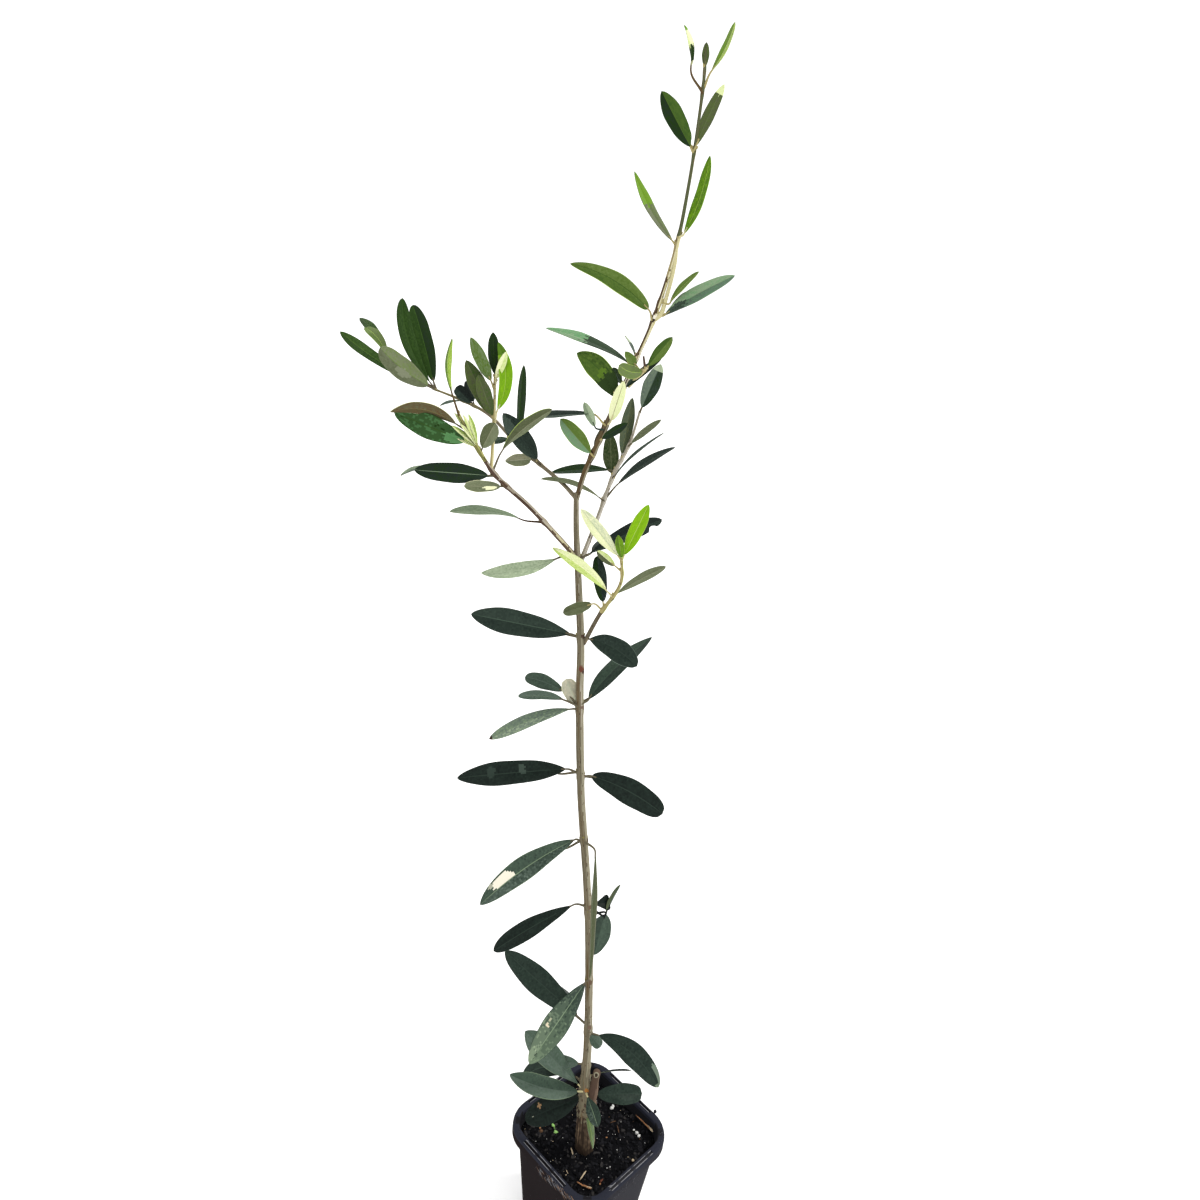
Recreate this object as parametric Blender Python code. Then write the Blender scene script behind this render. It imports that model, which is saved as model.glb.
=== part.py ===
"""Young olive tree in a square black nursery pot.

The origin is the centre of the pot's flat underside, +Z is up, and the pot's
four faces look along X and Y. The tree is laid out in its own frame (right,
back, up) in millimetres, whose front looks at one corner of the pot, and is
turned by TREE_TURN about Z. In that frame an azimuth of 0 points to the front
and 90 to the right.
"""

import math

import bmesh
import bpy
from mathutils import Matrix, Vector, noise
from mathutils.bvhtree import BVHTree

MM = 0.001
GAP = 0.3  # clearance kept between two pieces that touch, mm
TREE_TURN = math.radians(43.4)

# Pot, mm
POT_HEIGHT = 100.0
RIM_HALF = 45.0  # half of the square over the rim
RIM_RADIUS = 21.5
RIM_DEEP = 8.7  # height of the skirt that hangs from the rim
RIM_THICK = 1.6
SKIRT_WALL = 1.2
WALL_TOP_HALF = 39.8  # outside of the wall at the rim
WALL_FOOT_HALF = 32.6  # outside of the wall at the foot
WALL_RADIUS = 15.0
WALL = 1.1
FLOOR = 1.6
SLOT_LONG = 40.0  # slot through the rim along each side
SLOT_WIDE = 1.8
DRAIN_RADIUS = 4.0
DRAIN_OUT = 20.0  # from the centre to each drain hole, along X and Y

# Potting soil, mm
SOIL_TOP = 89.0
SOIL_UNEVEN = 1.6

# Trunk: (right, back, up, diameter), from the flat foot to the tip
TRUNK = [
    (-2, -8, 83, 14.6),
    (-2.4, -8.3, 91, 13.6),
    (-3.8, -9.3, 114, 12.2),
    (-4.8, -10.2, 136, 11.2),
    (-6.6, -10, 148, 8.4),
    (-8, -10, 162, 6.1),
    (-9, -9.5, 185, 5.7),
    (-11.8, -9, 222, 5.2),
    (-17.2, -9, 278, 5.1),
    (-23, -8.5, 322, 4.8),
    (-31.2, -7, 374, 4.6),
    (-36.3, -5, 416, 4.6),
    (-39.4, -3.7, 447, 4.5),
    (-41.6, -2, 475, 4.3),
    (-47.2, 0, 517, 3.7),
    (-50.4, 0, 541, 3.2),
    (-52.3, 0, 561, 2.8),
]
# Limbs: name -> the limb it grows from and its own run
LIMBS = {
    "stub": ("trunk", [(-3, -12, 138, 8.4), (-1.4, -12.5, 150, 6.8), (-1.3, -13, 160, 4.7), (-0.7, -13.5, 168.5, 4.4)]),
    "leader": (
        "trunk",
        [
            (-52, 0, 560, 2.6),
            (-49, 0, 572, 2.9),
            (-43, 0, 590, 2.9),
            (-36, 2, 611, 2.6),
            (-28, 4, 634, 2.2),
            (-22, 6, 653, 2.2),
            (-17, 5, 684, 1.9),
            (-15, -1, 715, 1.6),
            (-13, -5, 749, 1.4),
            (-14, -7, 767, 1.2),
        ],
    ),
    "bough_left": (
        "trunk",
        [
            (-48, 0, 524, 3.0),
            (-58, -3, 535, 2.8),
            (-75, -10, 553, 2.6),
            (-92, -18, 569, 2.4),
            (-102, -24, 584, 2.0),
            (-111, -29, 600, 1.6),
        ],
    ),
    "bough_back_left": (
        "trunk",
        [
            (-52, 0, 558, 2.4),
            (-62, 6, 565, 2.2),
            (-86, 23, 577, 2.0),
            (-106, 38, 590, 1.8),
            (-125, 50, 595, 1.6),
            (-143, 60, 598, 1.4),
        ],
    ),
    "bough_back_right": (
        "trunk",
        [
            (-46, 0, 524, 2.8),
            (-40, 9, 545, 2.4),
            (-34, 21, 567, 2.2),
            (-27, 32, 583, 1.8),
            (-23, 40, 601, 1.5),
        ],
    ),
    "shoot_low_right": (
        "trunk",
        [
            (-40, -2, 476, 2.6),
            (-33, -9, 497, 2.3),
            (-24, -19, 519, 1.9),
            (-25, -27, 537, 1.6),
        ],
    ),
    "shoot_left_up": (
        "bough_left",
        [
            (-95, -20, 572, 1.8),
            (-95, -20, 597, 1.6),
            (-96, -19, 618, 1.4),
        ],
    ),
    "shoot_top_right": (
        "leader",
        [
            (-31, 4, 618, 1.8),
            (-27, -1, 624, 1.7),
            (-23, -5, 629, 1.5),
        ],
    ),
}

# Foliage: name -> limb, how far along it the mass begins and ends (0 at its
# foot, 1 at its tip), and its sprays, each (place along the limb, azimuth,
# rise, length, width) in degrees and mm.
SPRAY_THICK = 4.0
SLEEVE = 2.3  # how far a mass stands out round the limb it grows on
FOLIAGE = {
    "foliage_foot": (
        "trunk", 0.11, 0.155,
        [(0.12, -89, 9, 56, 16), (0.12, -122, 12, 59, 14), (0.115, -63, -7, 46, 17),
         (0.12, 100, -7, 38, 13), (0.115, 7, 2, 38, 9), (0.14, 119, -4, 33, 5),
         (0.15, -108, -25, 52, 12)],
    ),
    "foliage_low": (
        "trunk", 0.215, 0.25,
        [(0.235, 57, -10, 53, 13), (0.24, -119, 16, 78, 16), (0.225, 29, 6, 14, 8), (0.245, -147, -17, 57, 10)],
    ),
    "foliage_hanging": (
        "trunk", 0.31, 0.335,
        [(0.32, -37, -23, 64, 15), (0.325, -108, -70, 45, 9)],
    ),
    "foliage_third": (
        "trunk", 0.43, 0.46,
        [(0.45, -65, -17, 66, 11), (0.44, 136, 16, 26, 7), (0.44, 38, -62, 30, 7)],
    ),
    "foliage_fourth": (
        "trunk", 0.54, 0.565,
        [(0.55, -59, -22, 72, 14), (0.55, 13, -45, 69, 6), (0.552, -126, -47, 39, 9)],
    ),
    "foliage_fifth": (
        "trunk", 0.63, 0.66,
        [(0.65, -85, -8, 73, 14), (0.64, 76, -12, 52, 14), (0.652, -132, -27, 49, 9),
         (0.648, 131, -30, 46, 9)],
    ),
    "foliage_sixth": (
        "trunk", 0.725, 0.75,
        [(0.73, -73, -18, 55, 8), (0.74, 129, 36, 59, 10), (0.74, -106, 14, 38, 9),
         (0.74, -80, 24, 34, 8), (0.744, 152, 10, 40, 8)],
    ),
    "foliage_seventh": (
        "trunk", 0.81, 0.835,
        [(0.825, -96, 3, 65, 14), (0.825, 58, -8, 37, 13), (0.828, -137, -11, 41, 9)],
    ),
    "foliage_eighth": (
        "trunk", 0.895, 0.915,
        [(0.905, -78, -13, 53, 8), (0.905, 109, 24, 55, 9), (0.897, 152, 1, 44, 8)],
    ),
    "foliage_shoot_low": (
        "shoot_low_right", 0.32, 0.58,
        [(0.56, 98, 35, 32, 6), (0.56, -109, 29, 41, 7), (0.39, -160, 47, 30, 7),
         (0.34, -69, 2, 21, 7)],
    ),
    "foliage_shoot_low_tip": (
        "shoot_low_right", 0.86, 1.0,
        [(0.98, -120, 37, 34, 7), (0.98, 143, 56, 32, 7), (0.92, -79, 40, 17, 6)],
    ),
    "foliage_left_low": (
        "bough_left", 0.22, 0.3,
        [(0.26, -76, 4, 49, 7)],
    ),
    "foliage_left_mid": (
        "bough_left", 0.56, 0.66,
        [(0.62, -67, 2, 46, 11), (0.58, -45, -2, 24, 7), (0.64, 107, 52, 44, 7), (0.63, -122, -11, 31, 7)],
    ),
    "foliage_left_tip": (
        "bough_left", 0.78, 1.0,
        [(0.91, -64, 13, 40, 13), (0.97, -111, 80, 37, 6), (0.79, 45, 59, 19, 8)],
    ),
    "foliage_left_up": (
        "shoot_left_up", 0.5, 1.0,
        [(0.54, -80, 64, 32, 10), (0.54, -40, 63, 26, 7), (0.88, -55, 59, 28, 7),
         (0.96, -158, 70, 23, 7), (0.56, 132, 82, 34, 8)],
    ),
    "foliage_back_low": (
        "bough_back_left", 0.22, 0.46,
        [(0.31, -54, -14, 18, 8), (0.24, -76, 49, 33, 10), (0.37, -170, 69, 45, 6),
         (0.45, -61, -5, 14, 6), (0.252, -149, 18, 28, 7)],
    ),
    "foliage_back_mid": (
        "bough_back_left", 0.7, 0.84,
        [(0.73, -114, 37, 17, 7), (0.75, -150, 47, 17, 6), (0.82, -62, -19, 13, 6)],
    ),
    "foliage_back_tip": (
        "bough_back_left", 0.94, 1.0,
        [(0.98, -82, 26, 60, 8), (0.98, -116, 28, 62, 8), (0.98, -46, 33, 41, 13),
         (0.98, -112, 60, 54, 9), (0.97, -142, 49, 57, 11), (0.98, -149, 35, 36, 7)],
    ),
    "foliage_right_low": (
        "bough_back_right", 0.33, 0.62,
        [(0.34, -67, 19, 38, 6), (0.43, 101, 41, 45, 8), (0.61, 166, 63, 38, 8),
         (0.55, -164, 52, 27, 8), (0.57, -98, -10, 36, 6)],
    ),
    "foliage_right_tip": (
        "bough_back_right", 0.76, 1.0,
        [(0.98, 125, 68, 29, 9), (0.78, 86, 46, 23, 6), (0.98, 166, 29, 22, 7)],
    ),
    "foliage_top_first": (
        "leader", 0.08, 0.2,
        [(0.10, -85, 43, 25, 8), (0.14, 61, 37, 19, 6), (0.18, -84, 2, 40, 6),
         (0.19, 44, 67, 26, 8), (0.18, -70, 43, 17, 6)],
    ),
    "foliage_top_second": (
        "leader", 0.25, 0.28,
        [(0.26, -89, 35, 30, 11), (0.27, 83, 47, 25, 6), (0.27, -149, 12, 27, 7)],
    ),
    "foliage_top_third": (
        "leader", 0.33, 0.385,
        [(0.34, -97, 17, 49, 7), (0.38, -121, 38, 13, 6)],
    ),
    "foliage_top_right": (
        "shoot_top_right", 0.7, 1.0,
        [(0.97, 79, 57, 21, 7), (0.9, -50, 4, 14, 6)],
    ),
    "foliage_top_fourth": (
        "leader", 0.44, 0.5,
        [(0.45, -98, 25, 50, 8), (0.46, 84, 32, 43, 8), (0.49, 63, 39, 25, 6), (0.462, 137, 19, 31, 6)],
    ),
    "foliage_top_fifth": (
        "leader", 0.605, 0.64,
        [(0.61, -90, 52, 37, 7), (0.63, 80, 74, 37, 7)],
    ),
    "foliage_top_sixth": (
        "leader", 0.79, 0.82,
        [(0.80, -92, 53, 28, 8), (0.80, 57, 67, 30, 7), (0.808, -153, 38, 22, 6)],
    ),
    "foliage_tip": (
        "leader", 0.9, 1.0,
        [(0.92, -63, 61, 28, 6), (0.92, 74, 69, 28, 6), (0.99, -42, 76, 9, 5)],
    ),
}

LOOKS = {
    "pot": ((0.012, 0.013, 0.015, 1), 0.45),
    "soil": ((0.012, 0.009, 0.007, 1), 0.95),
    "bark": ((0.23, 0.17, 0.10, 1), 0.8),
    "leaf": ((0.045, 0.085, 0.035, 1), 0.5),
}


def clear_scene():
    for obj in list(bpy.data.objects):
        bpy.data.objects.remove(obj, do_unlink=True)


def make_collection(name, hidden=False):
    made = bpy.data.collections.new(name)
    bpy.context.scene.collection.children.link(made)
    made.hide_render = hidden
    return made


def make_material(name, colour, roughness):
    material = bpy.data.materials.new(name)
    material.use_nodes = True
    shader = material.node_tree.nodes["Principled BSDF"]
    shader.inputs["Base Color"].default_value = colour
    shader.inputs["Roughness"].default_value = roughness
    shader.inputs["Metallic"].default_value = 0.0
    material.diffuse_color = colour
    return material


def object_from_bmesh(name, bm, collection, helper=False):
    bmesh.ops.recalc_face_normals(bm, faces=bm.faces)
    mesh = bpy.data.meshes.new(name)
    bm.to_mesh(mesh)
    bm.free()
    return add_object(name, mesh, collection, helper)


def add_object(name, data, collection, helper=False):
    obj = bpy.data.objects.new(name, data)
    collection.objects.link(obj)
    if helper:
        obj.hide_render = True
        obj.display_type = "WIRE"
    return obj


def boolean(obj, other, operation):
    modifier = obj.modifiers.new(operation.title(), "BOOLEAN")
    modifier.operation = operation
    modifier.solver = "EXACT"
    modifier.object = other
    return modifier


def bodies_of(bm):
    """The faces of each separate body."""
    left, bodies = set(bm.faces), []
    while left:
        body, edge_of_search = [], [left.pop()]
        while edge_of_search:
            face = edge_of_search.pop()
            body.append(face)
            for edge in face.edges:
                for other in edge.link_faces:
                    if other in left:
                        left.remove(other)
                        edge_of_search.append(other)
        bodies.append(body)
    return bodies


def bake(obj):
    """Replaces the object's mesh by what its modifiers make of it, without crumbs cut loose."""
    bpy.context.view_layer.update()
    graph = bpy.context.evaluated_depsgraph_get()
    mesh = bpy.data.meshes.new_from_object(obj.evaluated_get(graph))
    obj.modifiers.clear()
    obj.data = mesh
    bm = bmesh.new()
    bm.from_mesh(mesh)
    bmesh.ops.remove_doubles(bm, verts=bm.verts, dist=0.000002)
    bmesh.ops.dissolve_degenerate(bm, edges=bm.edges, dist=0.000002)
    bmesh.ops.triangulate(bm, faces=bm.faces)
    bodies = bodies_of(bm)
    most = max(bodies, key=lambda body: sum(face.calc_area() for face in body))
    loose = [face for body in bodies if body is not most for face in body]
    bmesh.ops.delete(bm, geom=loose, context="FACES")
    bm.to_mesh(mesh)
    bm.free()
    return obj


def remove(obj):
    bpy.data.objects.remove(obj, do_unlink=True)


# ---------------------------------------------------------------- the pot


def square_block(name, half_low, half_high, low, high, radius, collection, helper=True, segments=4):
    """A square frustum with its four upright edges rounded."""
    bm = bmesh.new()
    bmesh.ops.create_cube(bm, size=2.0)
    for vert in bm.verts:
        top = vert.co.z > 0
        half = (half_high if top else half_low) * MM
        vert.co = Vector((math.copysign(half, vert.co.x), math.copysign(half, vert.co.y), (high if top else low) * MM))
    upright = [edge for edge in bm.edges if abs(edge.verts[0].co.z - edge.verts[1].co.z) > 1e-6]
    bmesh.ops.bevel(bm, geom=upright, offset=radius * MM, offset_type="OFFSET", segments=segments, profile=0.5, affect="EDGES")
    return object_from_bmesh(name, bm, collection, helper)


def make_pot(parts, cutters):
    def wall_half(height, inward=0.0):
        share = height / (POT_HEIGHT - RIM_DEEP)
        return WALL_FOOT_HALF + (WALL_TOP_HALF - WALL_FOOT_HALF) * share - inward

    pot = square_block("pot", wall_half(0), wall_half(POT_HEIGHT - 0.7), 0, POT_HEIGHT - 0.7, WALL_RADIUS, parts, helper=False)
    rim = square_block("rim", RIM_HALF, RIM_HALF, POT_HEIGHT - RIM_DEEP, POT_HEIGHT, RIM_RADIUS, cutters)
    under = square_block("under_rim", RIM_HALF - SKIRT_WALL, RIM_HALF - SKIRT_WALL, POT_HEIGHT - RIM_DEEP - 3, POT_HEIGHT - RIM_THICK, RIM_RADIUS - SKIRT_WALL, cutters)
    boolean(rim, under, "DIFFERENCE")
    bake(rim)
    boolean(pot, rim, "UNION")
    inside = square_block("inside", wall_half(FLOOR, WALL), wall_half(POT_HEIGHT + 2, WALL), FLOOR, POT_HEIGHT + 2, WALL_RADIUS - WALL, cutters)
    boolean(pot, inside, "DIFFERENCE")
    for turn in range(4):
        slot = square_block("rim_slot", 1, 1, POT_HEIGHT - 3, POT_HEIGHT + 1, 0.05, cutters, segments=1)
        slot.data.transform(Matrix.Diagonal((SLOT_LONG / 2, SLOT_WIDE / 2, 1, 1)))
        slot.data.transform(Matrix.Translation((0, (RIM_HALF - SKIRT_WALL - SLOT_WIDE / 2 - 0.1) * MM, 0)))
        slot.data.transform(Matrix.Rotation(turn * math.pi / 2, 4, "Z"))
        boolean(pot, slot, "DIFFERENCE")
    for x in (-1, 1):
        for y in (-1, 1):
            bm = bmesh.new()
            bmesh.ops.create_cone(bm, cap_ends=True, segments=12, radius1=DRAIN_RADIUS * MM, radius2=DRAIN_RADIUS * MM, depth=6 * MM,
                                  matrix=Matrix.Translation((x * DRAIN_OUT * MM, y * DRAIN_OUT * MM, 1 * MM)))
            drain = object_from_bmesh("drain", bm, cutters, True)
            boolean(pot, drain, "DIFFERENCE")
    bake(pot)
    return pot, wall_half


def make_soil(parts, wall_half):
    """The root ball: fills the pot to SOIL_TOP, with an uneven top."""
    low = FLOOR + GAP
    soil = square_block("soil", wall_half(low, WALL + GAP), wall_half(SOIL_TOP, WALL + GAP), low, SOIL_TOP, WALL_RADIUS - WALL - GAP, parts, helper=False)
    bm = bmesh.new()
    bm.from_mesh(soil.data)
    top = [face for face in bm.faces if face.normal.z > 0.9]
    inner = bmesh.ops.inset_region(bm, faces=top, thickness=4 * MM)
    centre = [face for face in bm.faces if face.normal.z > 0.9 and face.calc_area() > 0.0012]
    bmesh.ops.triangulate(bm, faces=centre, quad_method="BEAUTY", ngon_method="BEAUTY")
    centre = [face for face in bm.faces if face.normal.z > 0.9 and all(not edge.is_boundary for edge in face.edges)]
    edges = {edge for face in centre for edge in face.edges if edge.calc_length() > 0.016}
    bmesh.ops.subdivide_edges(bm, edges=list(edges), cuts=3, use_grid_fill=True)
    for vert in bm.verts:
        if vert.co.z > (SOIL_TOP - 0.01) * MM:
            reach = max(abs(vert.co.x), abs(vert.co.y))
            if reach < (wall_half(SOIL_TOP, WALL + GAP) - 1.0) * MM and math.hypot(vert.co.x, vert.co.y) < 0.043:
                vert.co.z += SOIL_UNEVEN * MM * noise.noise(vert.co * 55.0)
    bmesh.ops.triangulate(bm, faces=bm.faces)
    bmesh.ops.recalc_face_normals(bm, faces=bm.faces)
    bm.to_mesh(soil.data)
    bm.free()
    return soil


# ---------------------------------------------------------------- limbs


def smooth_run(stations, step):
    """Points (right, back, up, diameter) on a smooth curve through the stations, about step mm apart."""
    ends = [Vector(station) for station in stations]
    ends = [ends[0] * 2 - ends[1]] + ends + [ends[-1] * 2 - ends[-2]]
    dense = []
    for i in range(1, len(ends) - 2):
        a, b, c, d = ends[i - 1 : i + 3]
        for k in range(24):
            t = k / 24
            dense.append(0.5 * (2 * b + (c - a) * t + (2 * a - 5 * b + 4 * c - d) * t * t + (3 * b - a - 3 * c + d) * t**3))
    dense.append(ends[-2])
    far = [0.0]
    for before, after in zip(dense, dense[1:]):
        far.append(far[-1] + (after.to_3d() - before.to_3d()).length)
    count = max(2, round(far[-1] / step))
    run = []
    for i in range(count + 1):
        want = far[-1] * i / count
        k = min(max(1, next((n for n, value in enumerate(far) if value >= want - 1e-9), len(far) - 1)), len(far) - 1)
        share = (want - far[k - 1]) / max(far[k] - far[k - 1], 1e-9)
        run.append(dense[k - 1].lerp(dense[k], share))
    return run


def part_of_run(stations, begin, end, step):
    """The stretch of a limb from begin to end (0 to 1), as points."""
    run = smooth_run(stations, 2.0)
    first, last = begin * (len(run) - 1), end * (len(run) - 1)
    count = max(2, round((last - first) * 2.0 / step))
    out = []
    for i in range(count + 1):
        place = first + (last - first) * i / count
        k = min(int(place), len(run) - 2)
        out.append(run[k].lerp(run[k + 1], place - k))
    return out


def place_on(stations, where):
    run = smooth_run(stations, 2.0)
    place = where * (len(run) - 1)
    k = min(int(place), len(run) - 2)
    return run[k].lerp(run[k + 1], place - k)


def to_part(right, back, up):
    return Matrix.Rotation(TREE_TURN, 3, "Z") @ (Vector((right, back, up)) * MM)


def tube(name, run, collection, thicker=0.0, longer=0.0, helper=False, resolution=2):
    """A tapering tube along the run: a curve with a bevel, made a closed mesh."""
    run = [point.copy() for point in run]
    if longer:
        for end, other in ((0, 1), (-1, -2)):
            way = (run[end].to_3d() - run[other].to_3d()).normalized() * longer
            run[end] = Vector((*(run[end].to_3d() + way), run[end].w))
    data = bpy.data.curves.new(name, "CURVE")
    data.dimensions = "3D"
    data.bevel_depth = MM
    data.bevel_resolution = resolution
    data.use_fill_caps = True
    data.resolution_u = 1
    spline = data.splines.new("POLY")
    spline.points.add(len(run) - 1)
    for point, place in zip(spline.points, run):
        point.co = (*to_part(*place.to_3d()), 1.0)
        point.radius = place.w / 2 + thicker
    curve = add_object(name + "_curve", data, collection, True)
    bpy.context.view_layer.update()
    graph = bpy.context.evaluated_depsgraph_get()
    mesh = bpy.data.meshes.new_from_object(curve.evaluated_get(graph))
    remove(curve)
    bm = bmesh.new()
    bm.from_mesh(mesh)
    bmesh.ops.remove_doubles(bm, verts=bm.verts, dist=0.00001)
    bpy.data.meshes.remove(mesh)
    return object_from_bmesh(name, bm, collection, helper)


# ---------------------------------------------------------------- foliage


def spray(name, foot, azimuth, rise, length, width, collection, seed):
    """One flat, uneven, pointed blade of foliage that starts at foot and reaches length."""
    angle, climb = math.radians(azimuth), math.radians(rise)
    way = Vector((math.sin(angle) * math.cos(climb), -math.cos(angle) * math.cos(climb), math.sin(climb)))
    side = way.cross(Vector((0, 0, 1)))
    if side.length < 0.25:
        side = Vector((1, 0, 0))
    side.normalize()
    face = side.cross(way).normalized()
    bm = bmesh.new()
    bmesh.ops.create_uvsphere(bm, u_segments=4, v_segments=4, radius=1.0)
    for vert in bm.verts:
        along, across, deep = vert.co.z, vert.co.x, vert.co.y
        uneven = 1.0 + 0.16 * noise.noise(Vector((along * 1.7 + seed * 3.1, across + seed, deep)))
        place = (
            way * (0.495 * length + 0.505 * length * along)
            + side * (across * width / 2 * uneven)
            + face * (deep * SPRAY_THICK / 2 - 0.02 * length * (along * along))
        )
        vert.co = to_part(*(foot + place))
    return object_from_bmesh(name, bm, collection, True)


def make_mass(name, stations, begin, end, sprays, parts, cutters, number):
    sleeve_run = part_of_run(stations, begin, end, 9.0)
    if (sleeve_run[-1].to_3d() - sleeve_run[0].to_3d()).length < 5:
        middle = sleeve_run[len(sleeve_run) // 2]
        way = (sleeve_run[-1].to_3d() - sleeve_run[0].to_3d()).normalized()
        sleeve_run = [Vector((*(middle.to_3d() + way * far), middle.w)) for far in (-3.0, 0.0, 3.0)]
    mass = tube(name, sleeve_run, parts, thicker=SLEEVE, longer=1.2, resolution=1)
    for i, (where, azimuth, rise, length, width) in enumerate(sprays):
        foot = place_on(stations, where).to_3d()
        blade = spray(name + "_spray", foot, azimuth, rise, length, width, cutters, number + 0.37 * i)
        boolean(mass, blade, "UNION")
        bake(mass)
        remove(blade)
    return mass


def near(a, b, reach=0.002):
    """Whether the boxes of two objects come within reach of each other."""
    boxes = []
    for obj in (a, b):
        points = [vert.co for vert in obj.data.vertices]
        boxes.append(([min(p[k] for p in points) for k in range(3)], [max(p[k] for p in points) for k in range(3)]))
    (low_a, high_a), (low_b, high_b) = boxes
    return all(low_a[k] <= high_b[k] + reach and low_b[k] <= high_a[k] + reach for k in range(3))


def swollen(obj, collection):
    """A copy of the object that stands out GAP all round, where a neighbour needs room for it."""
    bm = bmesh.new()
    bm.from_mesh(obj.data)
    bm.normal_update()
    moved = [vert.co + vert.normal * GAP * MM for vert in bm.verts]
    for vert, place in zip(bm.verts, moved):
        vert.co = place
    return object_from_bmesh(obj.name + "_space", bm, collection, True)


def cross(a, b):
    """Whether the surfaces of two objects cross."""
    trees = []
    for obj in (a, b):
        bm = bmesh.new()
        bm.from_mesh(obj.data)
        trees.append(BVHTree.FromBMesh(bm))
        bm.free()
    return bool(trees[0].overlap(trees[1]))


def main():
    clear_scene()
    parts = make_collection("Potted_olive_tree")
    cutters = make_collection("Cutters", hidden=True)
    looks = {name: make_material(name, *look) for name, look in LOOKS.items()}

    pot, wall_half = make_pot(parts, cutters)
    pot.data.materials.append(looks["pot"])
    soil = make_soil(parts, wall_half)

    runs = {"trunk": TRUNK}
    runs.update({name: stations for name, (_, stations) in LIMBS.items()})
    limbs, fat_limbs = {}, {}
    for name, stations in runs.items():
        step = 21.0 if name == "trunk" else 11.0 if name == "stub" else 16.0
        run = smooth_run(stations, step)
        limbs[name] = tube(name, run, parts)
        fat_limbs[name] = tube(name + "_space", run, cutters, thicker=GAP, longer=GAP, helper=True)
    for name, (parent, _) in LIMBS.items():
        for other in runs:
            if other == name:
                break
            if near(limbs[name], fat_limbs[other], 0.0):
                boolean(limbs[name], fat_limbs[other], "DIFFERENCE")
        bake(limbs[name])
    boolean(soil, fat_limbs["trunk"], "DIFFERENCE")
    bake(soil)
    soil.data.materials.append(looks["soil"])
    for limb in limbs.values():
        limb.data.materials.append(looks["bark"])

    masses = []
    for number, (name, (limb, begin, end, sprays)) in enumerate(FOLIAGE.items()):
        mass = make_mass(name, runs[limb], begin, end, sprays, parts, cutters, number)
        for space in fat_limbs.values():
            if near(mass, space):
                boolean(mass, space, "DIFFERENCE")
        bake(mass)
        for other in masses:
            if near(mass, other, 0.0):
                space = swollen(other, cutters)
                if cross(mass, space):
                    boolean(mass, space, "DIFFERENCE")
                    bake(mass)
                remove(space)
        mass.data.materials.append(looks["leaf"])
        masses.append(mass)

    for obj in parts.objects:
        obj.data.shade_smooth()
        obj.data.set_sharp_from_angle(angle=math.radians(35))


main()
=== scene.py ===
"""Looks of a young olive tree in a square nursery pot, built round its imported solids.

The tree is laid out in its own frame (right, back, up) in millimetres, as the
solids are: the camera stands in front of it, and TREE_TURN turns it onto the
pot. A leaf is placed by where its foot and its tip show in the 1200 x 1200
picture, and by how far it leans out towards the camera; a seeded rule gives it
its veins, its wave and the tints of its small faces.
"""

import math
import random

import bmesh
import bpy
import numpy as np
from mathutils import Matrix, Vector, noise
from mathutils.bvhtree import BVHTree


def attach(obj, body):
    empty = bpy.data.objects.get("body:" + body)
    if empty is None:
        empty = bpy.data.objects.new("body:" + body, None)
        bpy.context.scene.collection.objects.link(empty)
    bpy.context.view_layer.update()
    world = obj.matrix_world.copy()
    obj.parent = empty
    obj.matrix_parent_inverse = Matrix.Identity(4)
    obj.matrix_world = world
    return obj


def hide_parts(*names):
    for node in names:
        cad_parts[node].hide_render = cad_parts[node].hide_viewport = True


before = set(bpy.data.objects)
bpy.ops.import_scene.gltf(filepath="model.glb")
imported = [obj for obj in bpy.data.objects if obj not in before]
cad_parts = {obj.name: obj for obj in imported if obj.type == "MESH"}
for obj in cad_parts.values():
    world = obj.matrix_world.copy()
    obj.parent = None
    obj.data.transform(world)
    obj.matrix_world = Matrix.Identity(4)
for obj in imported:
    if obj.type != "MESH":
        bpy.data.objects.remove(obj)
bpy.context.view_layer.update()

MM = 0.001
TREE_TURN = math.radians(43.4)
SEED = 11

# ------------------------------------------------------------------ camera

PICTURE = 1200
FOCAL = 866.0  # pixels of the picture
CAM_AT = np.array([-33.6, -447.3, 672.1])
CAM_PITCH = math.radians(20.80)
CAM_ROLL = math.radians(6.29)


def camera_axes():
    forward = np.array([0.0, math.cos(CAM_PITCH), -math.sin(CAM_PITCH)])
    right = np.array([1.0, 0.0, 0.0])
    up = np.cross(right, forward)
    c, s = math.cos(CAM_ROLL), math.sin(CAM_ROLL)
    return c * right + s * up, -s * right + c * up, forward


CAM_RIGHT, CAM_UP, CAM_FORWARD = camera_axes()
TURN = np.array(Matrix.Rotation(TREE_TURN, 3, "Z"))


def sight(x, y):
    """Direction from the camera through a point of the picture, in the tree's frame."""
    ray = CAM_FORWARD + (x - 600) / FOCAL * CAM_RIGHT - (y - 600) / FOCAL * CAM_UP
    return ray / np.linalg.norm(ray)


def on_level(x, y, height):
    """The point at that height that shows at x, y."""
    ray = sight(x, y)
    return CAM_AT + ray * ((height - CAM_AT[2]) / ray[2])


def shows_at(point):
    """Where a point of the tree's frame shows in the picture."""
    away = np.asarray(point, float) - CAM_AT
    deep = away @ CAM_FORWARD
    return 600 + FOCAL * (away @ CAM_RIGHT) / deep, 600 - FOCAL * (away @ CAM_UP) / deep


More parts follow.
